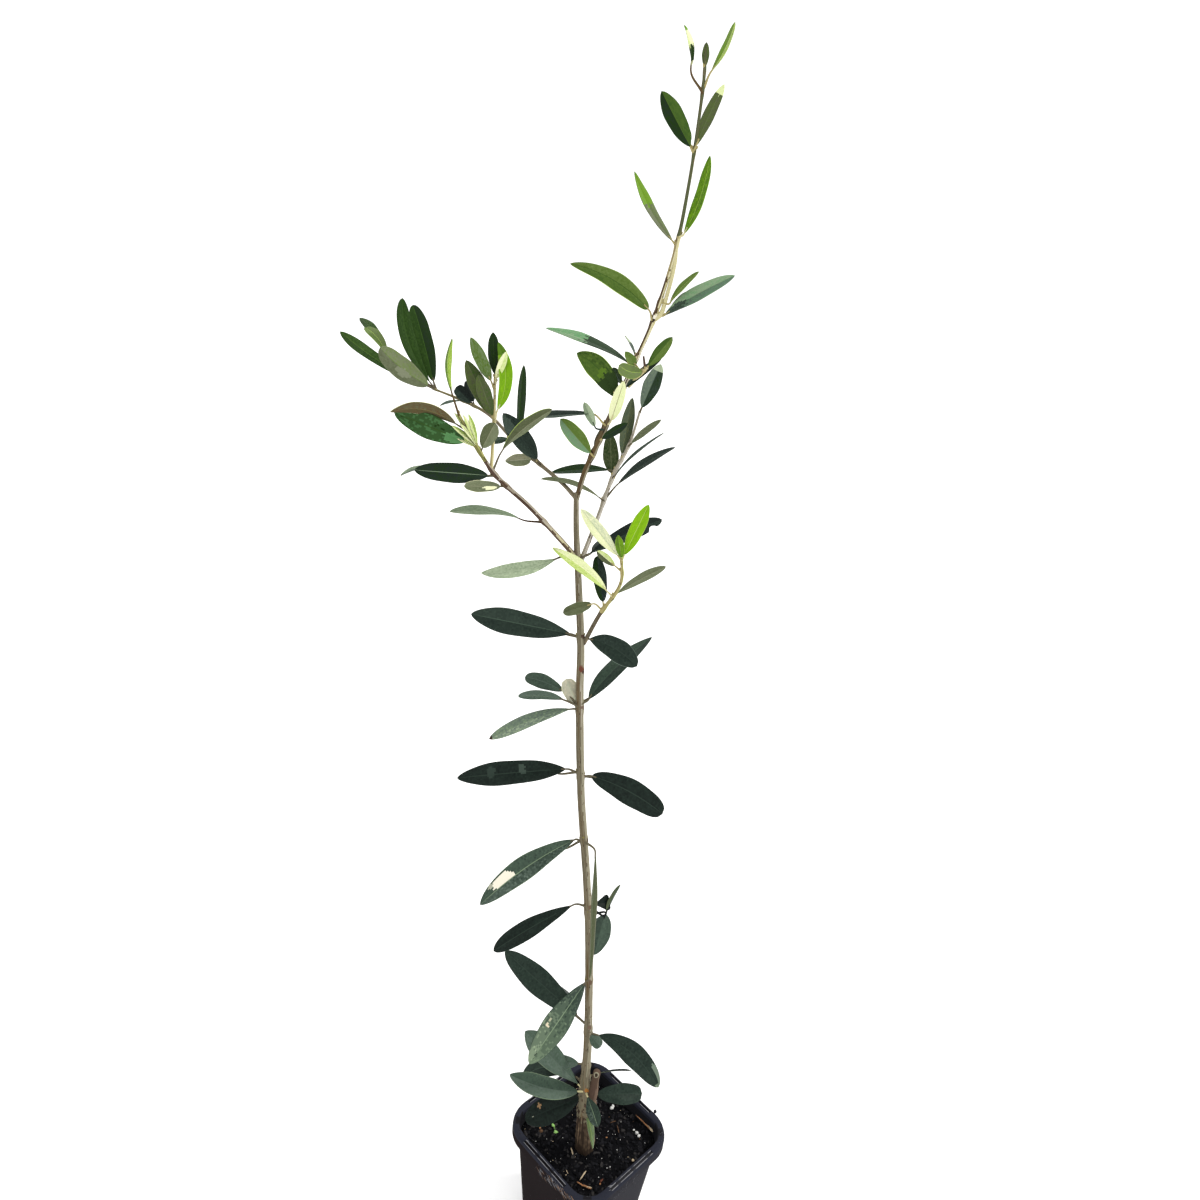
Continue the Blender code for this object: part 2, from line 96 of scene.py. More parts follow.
def make_camera():
    data = bpy.data.cameras.new("camera")
    data.sensor_width = 36.0
    data.lens = FOCAL / PICTURE * 36.0
    data.clip_start = 0.01
    data.clip_end = 50.0
    camera = bpy.data.objects.new("camera", data)
    bpy.context.scene.collection.objects.link(camera)
    columns = TURN @ np.stack([CAM_RIGHT, CAM_UP, -CAM_FORWARD], axis=1)
    place = Matrix([list(row) for row in columns]).to_4x4()
    place.translation = Vector(TURN @ CAM_AT * MM)
    camera.matrix_world = place
    bpy.context.scene.camera = camera


# --------------------------------------------------------------- materials

# Tints as they look in the scene's light, many of them with painted light and shade: (red, green, blue) of 255,
# roughness, specular
TINTS = {
    # K: the leaves' dark green with painted shade, for leaves seen from their unlit side
    "K": ((18, 25, 22), 0.5, 0.06),
    "D": ((29, 43, 36), 0.5, 0.1),
    "E": ((46, 63, 52), 0.5, 0.16),
    "F": ((68, 88, 72), 0.5, 0.18),
    "G": ((92, 108, 96), 0.55, 0.2),
    "H": ((122, 142, 112), 0.55, 0.2),
    # I and J, pale grey-greens: painted sheen of light off the glossy leaves, over their own grey-green
    "I": ((150, 168, 136), 0.6, 0.2),
    "J": ((182, 198, 164), 0.6, 0.2),
    "U": ((34, 58, 20), 0.55, 0.03),
    "L": ((60, 90, 32), 0.55, 0.06),
    "M": ((84, 110, 40), 0.55, 0.08),
    "N": ((108, 132, 66), 0.55, 0.12),
    "O": ((80, 88, 56), 0.7, 0.15),
    "P": ((100, 108, 78), 0.7, 0.15),
    "Q": ((122, 130, 100), 0.7, 0.15),
    "R": ((148, 146, 120), 0.7, 0.15),
    # S: pale grey, a pale underside's own tint and the tint of painted highlight spots
    "S": ((176, 178, 158), 0.7, 0.15),
    "A": ((96, 156, 100), 0.55, 0.2),
    # B, C, V, W and X, bright greens and creams: partly the young leaves' own colour, partly a painted glow of light
    # shining through them
    "B": ((110, 158, 18), 0.55, 0.1),
    "C": ((136, 188, 8), 0.55, 0.1),
    "V": ((180, 206, 100), 0.6, 0.2),
    "W": ((228, 240, 176), 0.6, 0.2),
    "X": ((248, 250, 204), 0.6, 0.2),
    "Y": ((226, 214, 184), 0.8, 0.2),
    "T": ((150, 118, 84), 0.8, 0.2),
    "Z": ((60, 48, 38), 0.8, 0.1),
    # bark
    "a": ((56, 45, 36), 0.9, 0.08),
    "b": ((82, 68, 54), 0.9, 0.08),
    "c": ((104, 97, 78), 0.85, 0.1),
    "d": ((124, 115, 94), 0.85, 0.1),
    "e": ((150, 144, 122), 0.85, 0.1),
    "f": ((178, 170, 154), 0.85, 0.12),
    "g": ((110, 66, 52), 0.85, 0.1),
    "h": ((162, 110, 54), 0.85, 0.1),
    "i": ((96, 78, 50), 0.8, 0.1),
    "j": ((70, 52, 36), 0.8, 0.1),
    "k": ((176, 164, 112), 0.75, 0.12),
    "l": ((214, 206, 158), 0.75, 0.15),
    "m": ((130, 122, 70), 0.75, 0.12),
    "n": ((140, 128, 106), 0.85, 0.1),
    # soil and what lies on it
    "o": ((20, 20, 22), 0.95, 0.0),
    # p: dark soil; on the pot's inner faces it is painted shade
    "p": ((34, 34, 37), 0.95, 0.0),
    "q": ((56, 54, 54), 0.95, 0.02),
    "r": ((104, 78, 58), 0.9, 0.1),
    "s": ((178, 128, 90), 0.9, 0.1),
    "t": ((208, 188, 158), 0.85, 0.1),
    "u": ((236, 236, 232), 0.9, 0.1),
    "v": ((150, 200, 112), 0.6, 0.2),
    "5": ((86, 69, 59), 0.85, 0.03),
    "6": ((118, 99, 85), 0.85, 0.03),
    "7": ((108, 90, 73), 0.85, 0.05),
    "8": ((138, 120, 98), 0.85, 0.05),
    # 9 and 0, near-white and pale grey: painted highlight of the sun on the bark, and 9 also on leaves
    "9": ((247, 241, 222), 0.7, 0.1),
    "0": ((200, 194, 182), 0.85, 0.1),
    # pot: w its own black, 3 painted shade on the sides turned from the sun, 1 a painted bluish sheen of the sky on the
    # rim, 4 a painted highlight along edges, 2 painted sheen on edges and also scuffs, x, y and z dust and scuffs
    "1": ((42, 44, 54), 0.55, 0.03),
    "2": ((62, 64, 72), 0.6, 0.1),
    "3": ((36, 31, 32), 0.75, 0.01),
    "4": ((138, 138, 142), 0.7, 0.1),
    "w": ((44, 44, 50), 0.6, 0.02),
    "x": ((46, 42, 42), 0.8, 0.05),
    "y": ((128, 104, 88), 0.9, 0.05),
    "z": ((84, 86, 92), 0.8, 0.05),
}
_made = {}
GAIN = 0.71  # the studio light is a little stronger than a tint as seen


def linear(value):
    value /= 255.0
    return value / 12.92 if value <= 0.04045 else ((value + 0.055) / 1.055) ** 2.4


def material(code):
    """The material of a tint, or of two tints mixed in quarters, as in DE1."""
    if code not in _made:
        one, two, share = (code[0], code[1], int(code[2]) / 4) if len(code) == 3 else (code, code, 0)
        (colour, roughness, specular), (other, rough_two, spec_two) = TINTS[one], TINTS[two]
        made = bpy.data.materials.new("tint_" + "_".join(ch.lower() * (1 + ch.isupper()) for ch in code))
        made.use_nodes = True
        shader = made.node_tree.nodes["Principled BSDF"]
        rgb = [min(0.92, linear(a + (b - a) * share) * GAIN) for a, b in zip(colour, other)]
        shader.inputs["Base Color"].default_value = (*rgb, 1)
        shader.inputs["Roughness"].default_value = roughness + (rough_two - roughness) * share
        shader.inputs["Specular IOR Level"].default_value = specular + (spec_two - specular) * share
        made.diffuse_color = (*rgb, 1)
        _made[code] = made
    return _made[code]


class Piece:
    """One joined mesh: points in the tree's frame in mm, faces, and a tint for each face."""

    def __init__(self, name):
        self.name, self.points, self.faces, self.codes = name, [], [], []
        self.count = 0

    def add(self, points, faces, codes):
        points = np.asarray(points, float)
        self.points.append(points)
        self.faces.extend([tuple(int(i) + self.count for i in face) for face in faces])
        self.codes.extend(codes if not isinstance(codes, str) else [codes] * len(faces))
        self.count += len(points)

    def build(self, smooth=True, turned=True):
        points = np.concatenate(self.points)
        if turned:
            points = points @ TURN.T
        mesh = bpy.data.meshes.new(self.name)
        mesh.from_pydata((points * MM).tolist(), [], self.faces)
        used = sorted(set(self.codes))
        for code in used:
            mesh.materials.append(material(code))
        slots = {code: i for i, code in enumerate(used)}
        mesh.polygons.foreach_set("material_index", [slots[code] for code in self.codes])
        mesh.polygons.foreach_set("use_smooth", [smooth] * len(self.faces))
        mesh.update()
        mesh.validate()
        obj = bpy.data.objects.new(self.name, mesh)
        bpy.context.scene.collection.objects.link(obj)
        return obj


# ------------------------------------------------------------------- limbs

# (right, back, up, diameter), as the solids have them
TRUNK = [
    (-2, -8, 83, 14.6),
    (-2.4, -8.3, 91, 13.6),
    (-3.8, -9.3, 114, 12.2),
    (-4.8, -10.2, 136, 11.2),
    (-6.6, -10, 148, 8.4),
    (-8, -10, 162, 6.1),
    (-9, -9.5, 185, 5.7),
    (-11.8, -9, 222, 5.2),
    (-17.2, -9, 278, 5.1),
    (-23, -8.5, 322, 4.8),
    (-31.2, -7, 374, 4.6),
    (-36.3, -5, 416, 4.6),
    (-39.4, -3.7, 447, 4.5),
    (-41.6, -2, 475, 4.3),
    (-47.2, 0, 517, 3.7),
    (-50.4, 0, 541, 3.2),
    (-52.3, 0, 561, 2.8),
]
LIMBS = {
    "trunk": TRUNK,
    "stub": [(-3, -12, 138, 8.4), (-1.4, -12.5, 150, 6.8), (-1.3, -13, 160, 5.2), (-0.7, -13.5, 168.5, 5.0)],
    "leader": [
        (-52, 0, 556, 2.6),
        (-49, 0, 572, 2.9),
        (-43, 0, 590, 2.9),
        (-36, 2, 611, 2.6),
        (-28, 4, 634, 2.2),
        (-22, 6, 653, 2.2),
        (-15.9, 5, 684, 1.9),
        (-13.6, -1, 715, 1.6),
        (-13, -5, 749, 1.4),
        (-14, -7, 767, 1.1),
    ],
    "bough_left": [
        (-48, 0, 524, 3.0),
        (-58, -3, 535, 2.8),
        (-75, -10, 553, 2.6),
        (-92, -18, 569, 2.4),
        (-102, -24, 584, 2.0),
        (-111, -29, 600, 1.4),
    ],
    "bough_back_left": [
        (-52, 0, 558, 2.4),
        (-62, 6, 565, 2.2),
        (-86, 23, 577, 2.0),
        (-106, 38, 590, 1.8),
        (-125, 50, 595, 1.6),
        (-143, 60, 598, 1.2),
    ],
    "bough_back_right": [
        (-46, 0, 524, 2.8),
        (-40, 9, 545, 2.4),
        (-34, 21, 567, 2.2),
        (-27, 32, 583, 1.8),
        (-23, 40, 601, 1.3),
    ],
    "shoot_low_right": [
        (-40, -2, 476, 2.6),
        (-33, -9, 497, 2.3),
        (-24, -19, 519, 1.9),
        (-25, -27, 537, 1.4),
    ],
    "shoot_left_up": [(-95, -20, 572, 1.8), (-95, -20, 597, 1.6), (-96, -19, 618, 1.1)],
    "shoot_top_right": [(-31, 4, 618, 1.8), (-27, -1, 624, 1.7), (-23, -5, 629, 1.3)],
}


def smooth_run(stations, step):
    """Points (right, back, up, diameter) on a smooth curve through the stations, about step mm apart."""
    s = np.array(stations, float)
    s = np.vstack([2 * s[0] - s[1], s, 2 * s[-1] - s[-2]])
    dense = []
    for i in range(1, len(s) - 2):
        a, b, c, d = s[i - 1 : i + 3]
        for t in np.arange(40) / 40:
            dense.append(0.5 * (2 * b + (c - a) * t + (2 * a - 5 * b + 4 * c - d) * t**2 + (3 * b - a - 3 * c + d) * t**3))
    dense.append(s[-2])
    dense = np.array(dense)
    far = np.concatenate([[0], np.cumsum(np.linalg.norm(np.diff(dense[:, :3], axis=0), axis=1))])
    want = np.linspace(0, far[-1], max(3, int(round(far[-1] / step)) + 1))
    return np.stack([np.interp(want, far, dense[:, k]) for k in range(4)], axis=1)


RUNS = {name: smooth_run(stations, 0.8) for name, stations in LIMBS.items()}


def on_limb(limb, x, y):
    """Where a limb shows nearest to x, y: (point of its centre line, its radius, its direction, index)."""
    run = RUNS[limb]
    ray = sight(x, y)
    away = run[:, :3] - CAM_AT
    miss = np.linalg.norm(away - np.outer(away @ ray, ray), axis=1)
    k = int(np.argmin(miss))
    low, high = max(0, k - 3), min(len(run) - 1, k + 3)
    way = run[high, :3] - run[low, :3]
    return run[k, :3], run[k, 3] / 2, way / np.linalg.norm(way), k


def unit(v):
    return v / max(np.linalg.norm(v), 1e-9)


def frames_along(line):
    """A pair of side directions at each point of a line, that don't spin."""
    ways = np.gradient(line, axis=0)
    ways /= np.linalg.norm(ways, axis=1)[:, None]
    side = unit(np.cross(ways[0], [0.13, -1.0, 0.21]))
    sides = []
    for way in ways:
        side = unit(side - way * (side @ way))
        sides.append(side)
    sides = np.array(sides)
    return ways, sides, np.cross(ways, sides)


def tube(piece, line, radii, sides, codes, caps=True):
    """A tube along a line; radii is (n,) or (n, sides); codes is a tint or a function of (ring, side)."""
    line = np.asarray(line, float)
    n = len(line)
    _, one, two = frames_along(line)
    radii = np.asarray(radii, float)
    if radii.ndim == 1:
        radii = np.repeat(radii[:, None], sides, axis=1)
    angles = np.arange(sides) * 2 * math.pi / sides
    ring = one[:, None, :] * np.cos(angles)[None, :, None] + two[:, None, :] * np.sin(angles)[None, :, None]
    points = (line[:, None, :] + ring * radii[:, :, None]).reshape(-1, 3)
    faces, tints = [], []
    for i in range(n - 1):
        for k in range(sides):
            m = (k + 1) % sides
            faces.append((i * sides + k, i * sides + m, (i + 1) * sides + m, (i + 1) * sides + k))
            tints.append(codes if isinstance(codes, str) else codes(i, k))
    if caps:
        faces.append(tuple(range(sides - 1, -1, -1)))
        faces.append(tuple((n - 1) * sides + k for k in range(sides)))
        tints += [tints[0], tints[-1]]
    piece.add(points, faces, tints)


# ------------------------------------------------------------------ leaves

T, LD, A, A2, B, C, R, D, ST = (
    "trunk", "leader", "bough_left", "shoot_left_up", "bough_back_left",
    "bough_back_right", "shoot_top_right", "shoot_low_right", "stub",
)

PALER = {
    "K": "D", "D": "E", "E": "F", "F": "G", "G": "H", "H": "I", "I": "J", "J": "W", "U": "L", "L": "M", "M": "N", "N": "V", "O": "P", "P": "Q",
    "A": "J", "i": "m", "Q": "R", "R": "S", "S": "J", "B": "V", "C": "V", "V": "W", "W": "X", "X": "W",
}
# name, limb, foot and tip in the picture, lean towards the camera in degrees,
# width in the picture, side seen (u upper, d underside), tints of the left and
# right half as one looks from foot to tip (where the halves differ, painted light
# on one and painted shade on the other), and what else is its own:
# mid  where its middle shows, arch  rise of the middle off the chord as a share
# of the length, real  true width in mm, wide  place of its greatest width,
# blunt  0 sharp to 1 round, rib  tint of the midrib, rim  tint of the edge strip,
# a painted glow along the edge, spots  (along, across, size along, size across,
# tint), the leaf's own marks and painted sheen and highlight, fold, twist and curl
# in degrees, and the share of fine specks of painted glint and a painted
# lightening along and across the leaf.
LEAVES = [
    ("b1", T, (585, 1091), (509.5, 1074.5), 14, 20, "u", "GF", "FE", dict(rim="H", real=15, mid=(546, 1088.5), petiole=5, stalk="l", calm=0.7, highlight_specks=0.08)),
    ("b2", T, (584, 1090), (525, 1031), 4, 24, "u", "GF", "FG", dict(wide=0.62, blunt=0.2, petiole=5, stalk="l")),
    ("b3", T, (586, 1082), (522, 1078), -22, 18, "u", "DE", "ED", dict(mid=(551, 1067), wide=0.6, rim="F")),
    ("b4", T, (589, 1066), (545, 1069), -48, 15, "u", "GF", "FG", dict(mid=(568, 1062))),
    ("b5", T, (585, 1095), (525, 1120), 8, 24, "u", "KD", "KD", dict(wide=0.58, blunt=0.7, spots=[(0.7, -0.58, 0.05, 0.17, "T"), (0.86, 0.0, 0.014, 0.1, "S")])),
    ("b6", T, (594, 1094), (642, 1093.5), -10, 19, "u", "DE", "DE", dict(wide=0.6, blunt=1)),
    ("b7", T, (586, 1092), (598, 1127), 35, 13, "u", "ED", "DG", dict(rib="H", petiole=4, stalk="l", wide=0.6)),
    ("b9", T, (599, 1109), (593, 1149), 30, 6.5, "d", "HM", "NG", dict(rim="J", petiole=0, wide=0.3, blunt=0)),
    ("b8", T, (598, 1078), (631, 1070.5), -25, 2.4, "u", "K", "K", dict(real=4, wide=0.75, curl=0.0)),
    ("c1", T, (595, 1032), (658.5, 1087.5), 12, 22, "u", "DE", "DE", dict(mid=(629, 1051), wide=0.58, blunt=0.5, spots=[(0.985, 0, 0.03, 1.2, "EJ2"), (0.88, 0.75, 0.13, 0.3, "GJ1")])),
    ("c2", T, (597, 1032), (600.5, 1047), 30, 11.5, "d", "GF", "FG", dict(blunt=1, petiole=1)),
    ("c3", T, (589, 1028), (505, 951), -5, 25, "u", "DE", "DE", dict(start=(577.5, 1016), mid=(538, 981))),
    ("d1", T, (590, 979), (529, 1064), 15, 25, "u", "EH", "EI", dict(start=(585.5, 982), rib="H", highlight_specks=0.1, calm=0.45, grad=(0.95, 0.0), wide=0.58, spots=[(0.61, -0.5, 0.035, 0.09, "Y"), (0.55, -0.55, 0.025, 0.06, "HY2"), (0.89, 0.05, 0.012, 0.1, "K")])),
    ("e1", T, (589, 907), (493.5, 951), 8, 19, "u", "DK", "DK", dict(start=(573, 905), mid=(534, 926), wide=0.64, blunt=0.6)),
    ("e2", T, (596, 909), (620.5, 884.5), -10, 5, "d", "OE", "E", dict(start=(606, 914), stalk="K")),
    ("e3", T, (594, 905), (610, 902), -25, 15, "u", "KD", "K", dict(blunt=1, petiole=1, wide=0.8)),
    ("e4", T, (596, 912), (594.5, 955), -35, 23, "d", "FE", "EF", dict(start=(605.5, 914), blunt=0.25, stalk="K")),
    ("f1", T, (587, 840), (480, 905), 10, 23, "u", "EG", "FE", dict(start=(575, 839.5), mid=(524.5, 868.5), grad=(0.3, 0.0), rib="H", rim="H", wide=0.56, highlight_specks=0.12, spots=[(0.74, -0.42, 0.095, 0.4, "9"), (0.65, -0.2, 0.035, 0.18, "9"), (0.84, -0.75, 0.03, 0.2, "S")])),
    ("f2", T, (589, 838), (590, 978), 8, 5.5, "d", "OP", "PO", dict(start=(595.3, 853), mid=(593, 914), real=10, wide=0.5, rim="R", rib="O")),
    ("g1", T, (584, 773), (457, 778), 0, 24, "u", "DK", "DK", dict(start=(566, 769), mid=(512, 773), spots=[(0.4, -0.25, 0.035, 0.45, "DG2"), (0.68, -0.2, 0.04, 0.5, "DG1")])),
    ("g2", T, (585, 776), (662.5, 814), 5, 26, "u", "DK", "DK", dict(start=(591.5, 776), mid=(626, 790), blunt=0.95, wide=0.58)),
    ("h1", T, (582, 710), (489, 739), 5, 14, "u", "GI", "GH", dict(start=(571.5, 709), grad=(0.45, 0.0), highlight_specks=0.25, wide=0.58, spots=[(0.985, 0, 0.025, 1.5, "Z")])),
    ("h2", T, (581, 704), (652, 637), -10, 17, "u", "EF", "ED", dict(start=(589, 699), wide=0.45, blunt=0.1)),
    ("h3", T, (580, 707), (525, 677), -10, 15, "u", "FE", "FE", dict(start=(563, 691), mid=(544, 682), wide=0.58, blunt=0.8)),
    ("h4", T, (580, 707), (518, 696), 12, 10, "d", "GF", "GF", dict(start=(564, 700), wide=0.6, blunt=0.6)),
    ("h5", T, (579, 709), (566, 679), 20, 17, "d", "SY", "SY", dict(blunt=1, rim="X", petiole=3, stalk="l")),
    ("i1", T, (584, 638), (471, 614), -5, 26, "u", "DE", "ED", dict(start=(571, 634), mid=(521, 624), wide=0.56)),
    ("i2", T, (584, 638), (637, 666.5), 25, 23, "u", "DE", "DE", dict(start=(589, 639), mid=(614, 648), rim="G", wide=0.6, blunt=0.6)),
    ("j1", T, (580, 556), (481, 573), 5, 15, "u", "IJ", "JI", dict(start=(558, 558), mid=(520, 570), highlight_specks=0.3, wide=0.58, blunt=0.15, rib="J")),
    ("j2", T, (580, 559), (662, 519.5), -8, 17, "u", "DK", "DE", dict(blunt=0.5, mid=(625, 535), wide=0.64, bites=[(0.83, -1, 0.05, 0.6)])),
    ("k1", D, (620, 560), (581, 509), -10, 14, "u", "XW", "XJ", dict(rib="J")),
    ("k2", D, (622, 560), (648.8, 504.5), -10, 15, "u", "CB", "CB", dict(rim="V", rib="V")),
    ("k3", D, (622, 560), (618, 535), 20, 9, "u", "MB", "BM", dict(rim="V")),
    ("k4", D, (622, 572), (597, 551), 20, 9, "d", "OP", "WV", dict(start=(615, 566), blunt=0.6)),
    ("k5", D, (613, 597), (666, 566.5), 5, 10, "d", "PQ", "QP", dict(wide=0.6, blunt=0.5)),
    ("k6", D, (613, 597), (552.5, 547.5), -5, 12, "u", "VW", "WX", dict(rim="V", rib="X", start=(606, 590))),
    ("k7", D, (604, 609), (597, 556), -20, 14, "u", "UD", "DE", dict(blunt=0.7)),
    ("k8", D, (603, 611), (563, 613), 20, 12, "d", "PO", "OP", dict(start=(592, 604), blunt=0.8, rim="Q")),
    ("l1", A, (541, 525), (449.5, 511.5), 10, 9, "u", "IH", "HI", dict(start=(520, 519), wide=0.6, stalk="j")),
    ("l2", A, (494, 477), (414, 470), 15, 20, "u", "DU", "DU", dict(rib="H", blunt=0.5)),
    ("l2b", A, (494, 477), (400.5, 475.5), 15, 3.5, "u", "FH", "HJ", dict(start=(432, 472), real=5, stalk="F")),
    ("l3", A, (504, 487), (464, 486), 35, 12, "d", "PQ", "QP", dict(rim="X", blunt=0.8, spots=[(0.25, 0.3, 0.2, 0.35, "X")])),
    ("l4", A, (494, 469), (552, 409), 5, 12, "d", "OP", "QP", dict(start=(502, 451), wide=0.6, rim="V")),
    ("l5", A, (477, 454), (495, 423), 35, 17, "d", "PO", "QP", dict(rim="Q", blunt=0.6)),
    ("l6", A, (466, 430), (390, 412), 25, 12.5, "d", "iO", "iP", dict(start=(456, 424), mid=(424.5, 409.5), rim="X")),
    ("l7", A, (470, 441), (394, 412.5), 12, 24, "u", "UA", "UA", dict(start=(465, 442), mid=(427, 426), calm=0.45, spots=[(0.13, 0.25, 0.17, 0.6, "LA3")])),
    ("l8", A, (459, 416), (452.3, 338.5), 5, 6, "u", "MB", "VB", dict(start=(451.5, 392), mid=(447, 363), stalk="i")),
    ("l9", A, (474, 450), (472.5, 427), 15, 4.5, "u", "XV", "WV", dict(petiole=1)),
    ("l10", A, (474, 450), (454.5, 413), 12, 5, "u", "WV", "XV", dict(petiole=1)),
    ("l11", A, (474, 450), (452, 434), 18, 5, "u", "XV", "VX", dict(petiole=1)),
    ("l12", A, (473, 448), (463, 415), 24, 5, "u", "VX", "XW", dict(petiole=1)),
    ("l13", A, (473, 448), (468.4, 414), 20, 4.5, "u", "WV", "VN", dict(petiole=1)),
    ("l14", A, (474, 450), (451.5, 425.5), 28, 4.5, "u", "XV", "VN", dict(petiole=1)),
    ("l15", A, (474, 450), (460, 424), 30, 4, "u", "WX", "XV", dict(petiole=1)),
    ("m1", A2, (494, 420), (466, 360), 8, 18, "d", "OM", "OL", dict(spots=[(0.22, 0.1, 0.05, 0.2, "X")])),
    ("m2", A2, (494, 420), (478, 375), 25, 14, "d", "OM", "OL", dict()),
    ("m3", A2, (494, 389), (470.5, 337), 20, 13, "u", "MH", "MH", dict(start=(491, 381), rim="H")),
    ("m4", A2, (494, 380), (493, 332), -12, 12, "u", "UD", "UD", dict()),
    ("m5", A2, (495, 421), (498, 342), 5, 14, "u", "BC", "BC", dict(start=(497.5, 410), mid=(505.5, 377), rim="V", spots=[(0.93, 0, 0.12, 2, "LB2")])),
    ("m6", A2, (494, 385), (507, 351), 20, 8, "u", "XW", "WV", dict(start=(496, 379))),
    ("n1", B, (534, 459), (505, 461), 25, 13, "d", "QP", "RQ", dict(wide=0.4, blunt=0.2, rim="X")),
    ("n2", B, (540, 463), (503, 413), 15, 20, "u", "ED", "DE", dict(spots=[(0.82, 0.4, 0.2, 0.6, "EG2")])),
    ("n3", B, (517, 447), (524, 365), -10, 9, "u", "UD", "UD", dict(mid=(520, 404))),
    ("n4", B, (510, 440), (487, 442), 20, 7, "u", "EF", "FG", dict()),
    ("n5", B, (474, 405), (456, 387), -20, 13, "u", "D", "K", dict(blunt=1, wide=0.6)),
    ("n6", B, (474, 405), (468, 380), -30, 11, "u", "K", "D", dict(blunt=1, wide=0.65)),
    ("n7", B, (462, 401), (440, 405.5), 10, 2.4, "u", "F", "F", dict(real=4)),
    ("n8", B, (436, 388), (340, 331.5), 0, 12, "u", "UL", "LU", dict(wide=0.7, mid=(382, 363))),
    ("n9", B, (434, 388), (360, 318), -38, 9, "u", "UL", "LU", dict(start=(386, 350), blunt=0.4, twist=0, stalk="i", real=6)),
    ("n10", B, (434, 388), (366, 327.5), -20, 9.5, "u", "NM", "NP", dict(start=(386, 354), blunt=1, wide=0.6, twist=0, stalk="i", real=7)),
    ("n11", B, (434, 388), (380, 347.5), 30, 22, "d", "PQ", "QN", dict(mid=(404, 370), rib="N", blunt=0.7, spots=[(0.45, 0.25, 0.14, 0.35, "QS1")])),
    ("n12", B, (436, 387), (402.5, 298), -10, 15, "u", "UL", "UL", dict(mid=(408, 340), wide=0.6, blunt=0.5, calm=0.6)),
    ("n13", B, (436, 387), (413, 305), -30, 19, "u", "UL", "UD", dict(mid=(424.5, 345), wide=0.55, blunt=0.8, calm=0.6, rib="L")),
    ("o1", C, (603.5, 501), (541, 479), 25, 5, "u", "PO", "PO", dict(mid=(573, 483.5))),
    ("o2", C, (617, 482), (663.5, 433), -5, 2.6, "u", "E", "E", dict(real=4)),
    ("o3", C, (609, 499), (675.3, 447.3), 5, 8, "u", "DE", "DE", dict(start=(618, 484), mid=(648, 461))),
    ("o4", C, (619, 459), (632.5, 397.5), -15, 13, "d", "PF", "OE", dict()),
    ("o5", C, (611, 477), (610, 432.5), -25, 16, "d", "OU", "OU", dict(wide=0.48)),
    ("o6", C, (640, 412), (661, 364), -5, 17, "u", "GH", "EU", dict(spots=[(0.93, 0, 0.1, 2, "J")])),
    ("o7", C, (629, 446), (661.5, 419.5), 10, 7, "u", "PQ", "PQ", dict()),
    ("p1", C, (606, 466), (551, 472.5), -10, 9, "u", "EU", "UE", dict()),
    ("p2", LD, (593, 456), (560.3, 418.6), 10, 17, "u", "HA", "MN", dict(rim="V", blunt=0.4, calm=0.6)),
    ("p3", LD, (600, 440), (628, 423), 30, 9, "u", "UD", "DU", dict()),
    ("p4", LD, (606, 426), (529, 417.5), 5, 7, "u", "EF", "DE", dict(start=(590, 413.5), mid=(560, 415))),
    ("p5", LD, (608, 429), (624, 381), 25, 13, "d", "XW", "WX", dict(start=(611, 421), rib="i", wide=0.45)),
    ("p6", LD, (604, 430), (584, 402), 5, 9, "u", "HI", "IJ", dict(start=(595, 427), stalk="E")),
    ("p7", LD, (594, 453), (604, 427), -25, 8, "d", "OZ", "OZ", dict()),
    ("q1", LD, (622, 394), (576.5, 353), 5, 23, "u", "ML", "MU", dict(start=(616, 398), mid=(601, 371.5), rim="V", rib="L", blunt=0.2, spots=[(0.2, 0, 0.22, 3, "UO1"), (0.47, 0, 0.07, 0.55, "MB1")])),
    ("q2", LD, (626, 393), (662.3, 357.5), 10, 8, "u", "EF", "DU", dict()),
    ("r1", LD, (634, 368), (546, 328), -5, 9, "u", "HA", "AI", dict(spots=[(0.2, 0, 0.33, 3, "EL1")])),
    ("r2", R, (645, 371), (619, 365), 30, 14, "d", "NQ", "NP", dict(mid=(631, 372), rim="V", blunt=0.8)),
    ("r3", LD, (625, 388), (612.8, 367.5), -30, 9, "u", "GF", "EM", dict()),
    ("r4", R, (647, 371), (672.5, 337), 10, 12, "d", "LM", "MN", dict(rim="N")),
    ("r5", R, (641, 373), (625, 351.5), 30, 9, "u", "NM", "MN", dict(start=(636, 365))),
    ("r6", LD, (633, 356), (625, 335.5), -20, 2.4, "u", "F", "F", dict(real=3.5, spots=[(0.85, 0, 0.2, 3, "J")])),
    ("s1", LD, (652, 321), (570, 263.7), -5, 17, "u", "ML", "MN", dict(start=(648.5, 309.5), mid=(613, 280), rim="V", rib="L", wide=0.42)),
    ("s2", LD, (657, 317), (735, 275.5), 5, 14, "u", "IA", "GA", dict(start=(665, 315), rim="I", calm=0.6, spots=[(0.08, -0.3, 0.25, 1, "EF2")])),
    ("s3", LD, (663, 303), (699, 271.5), 20, 6.5, "u", "MN", "NM", dict(start=(670, 303))),
    ("t1", LD, (675, 246), (634.5, 171.5), 0, 9, "u", "PQ", "PN", dict(start=(672.5, 241), mid=(650, 209), spots=[(0.86, 0, 0.3, 3, "BN1")])),
    ("t2", LD, (679, 237), (710, 155.5), 0, 11, "u", "BL", "BL", dict(start=(684, 234), mid=(701, 195))),
    ("u1", LD, (693, 152), (661.5, 91), -5, 19, "u", "UD", "LM", dict(wide=0.52, blunt=0.35)),
    ("u2", LD, (693, 152), (724.5, 84), 5, 12, "d", "OM", "OM", dict(start=(696, 146), spots=[(0.93, 0, 0.1, 3, "W")])),
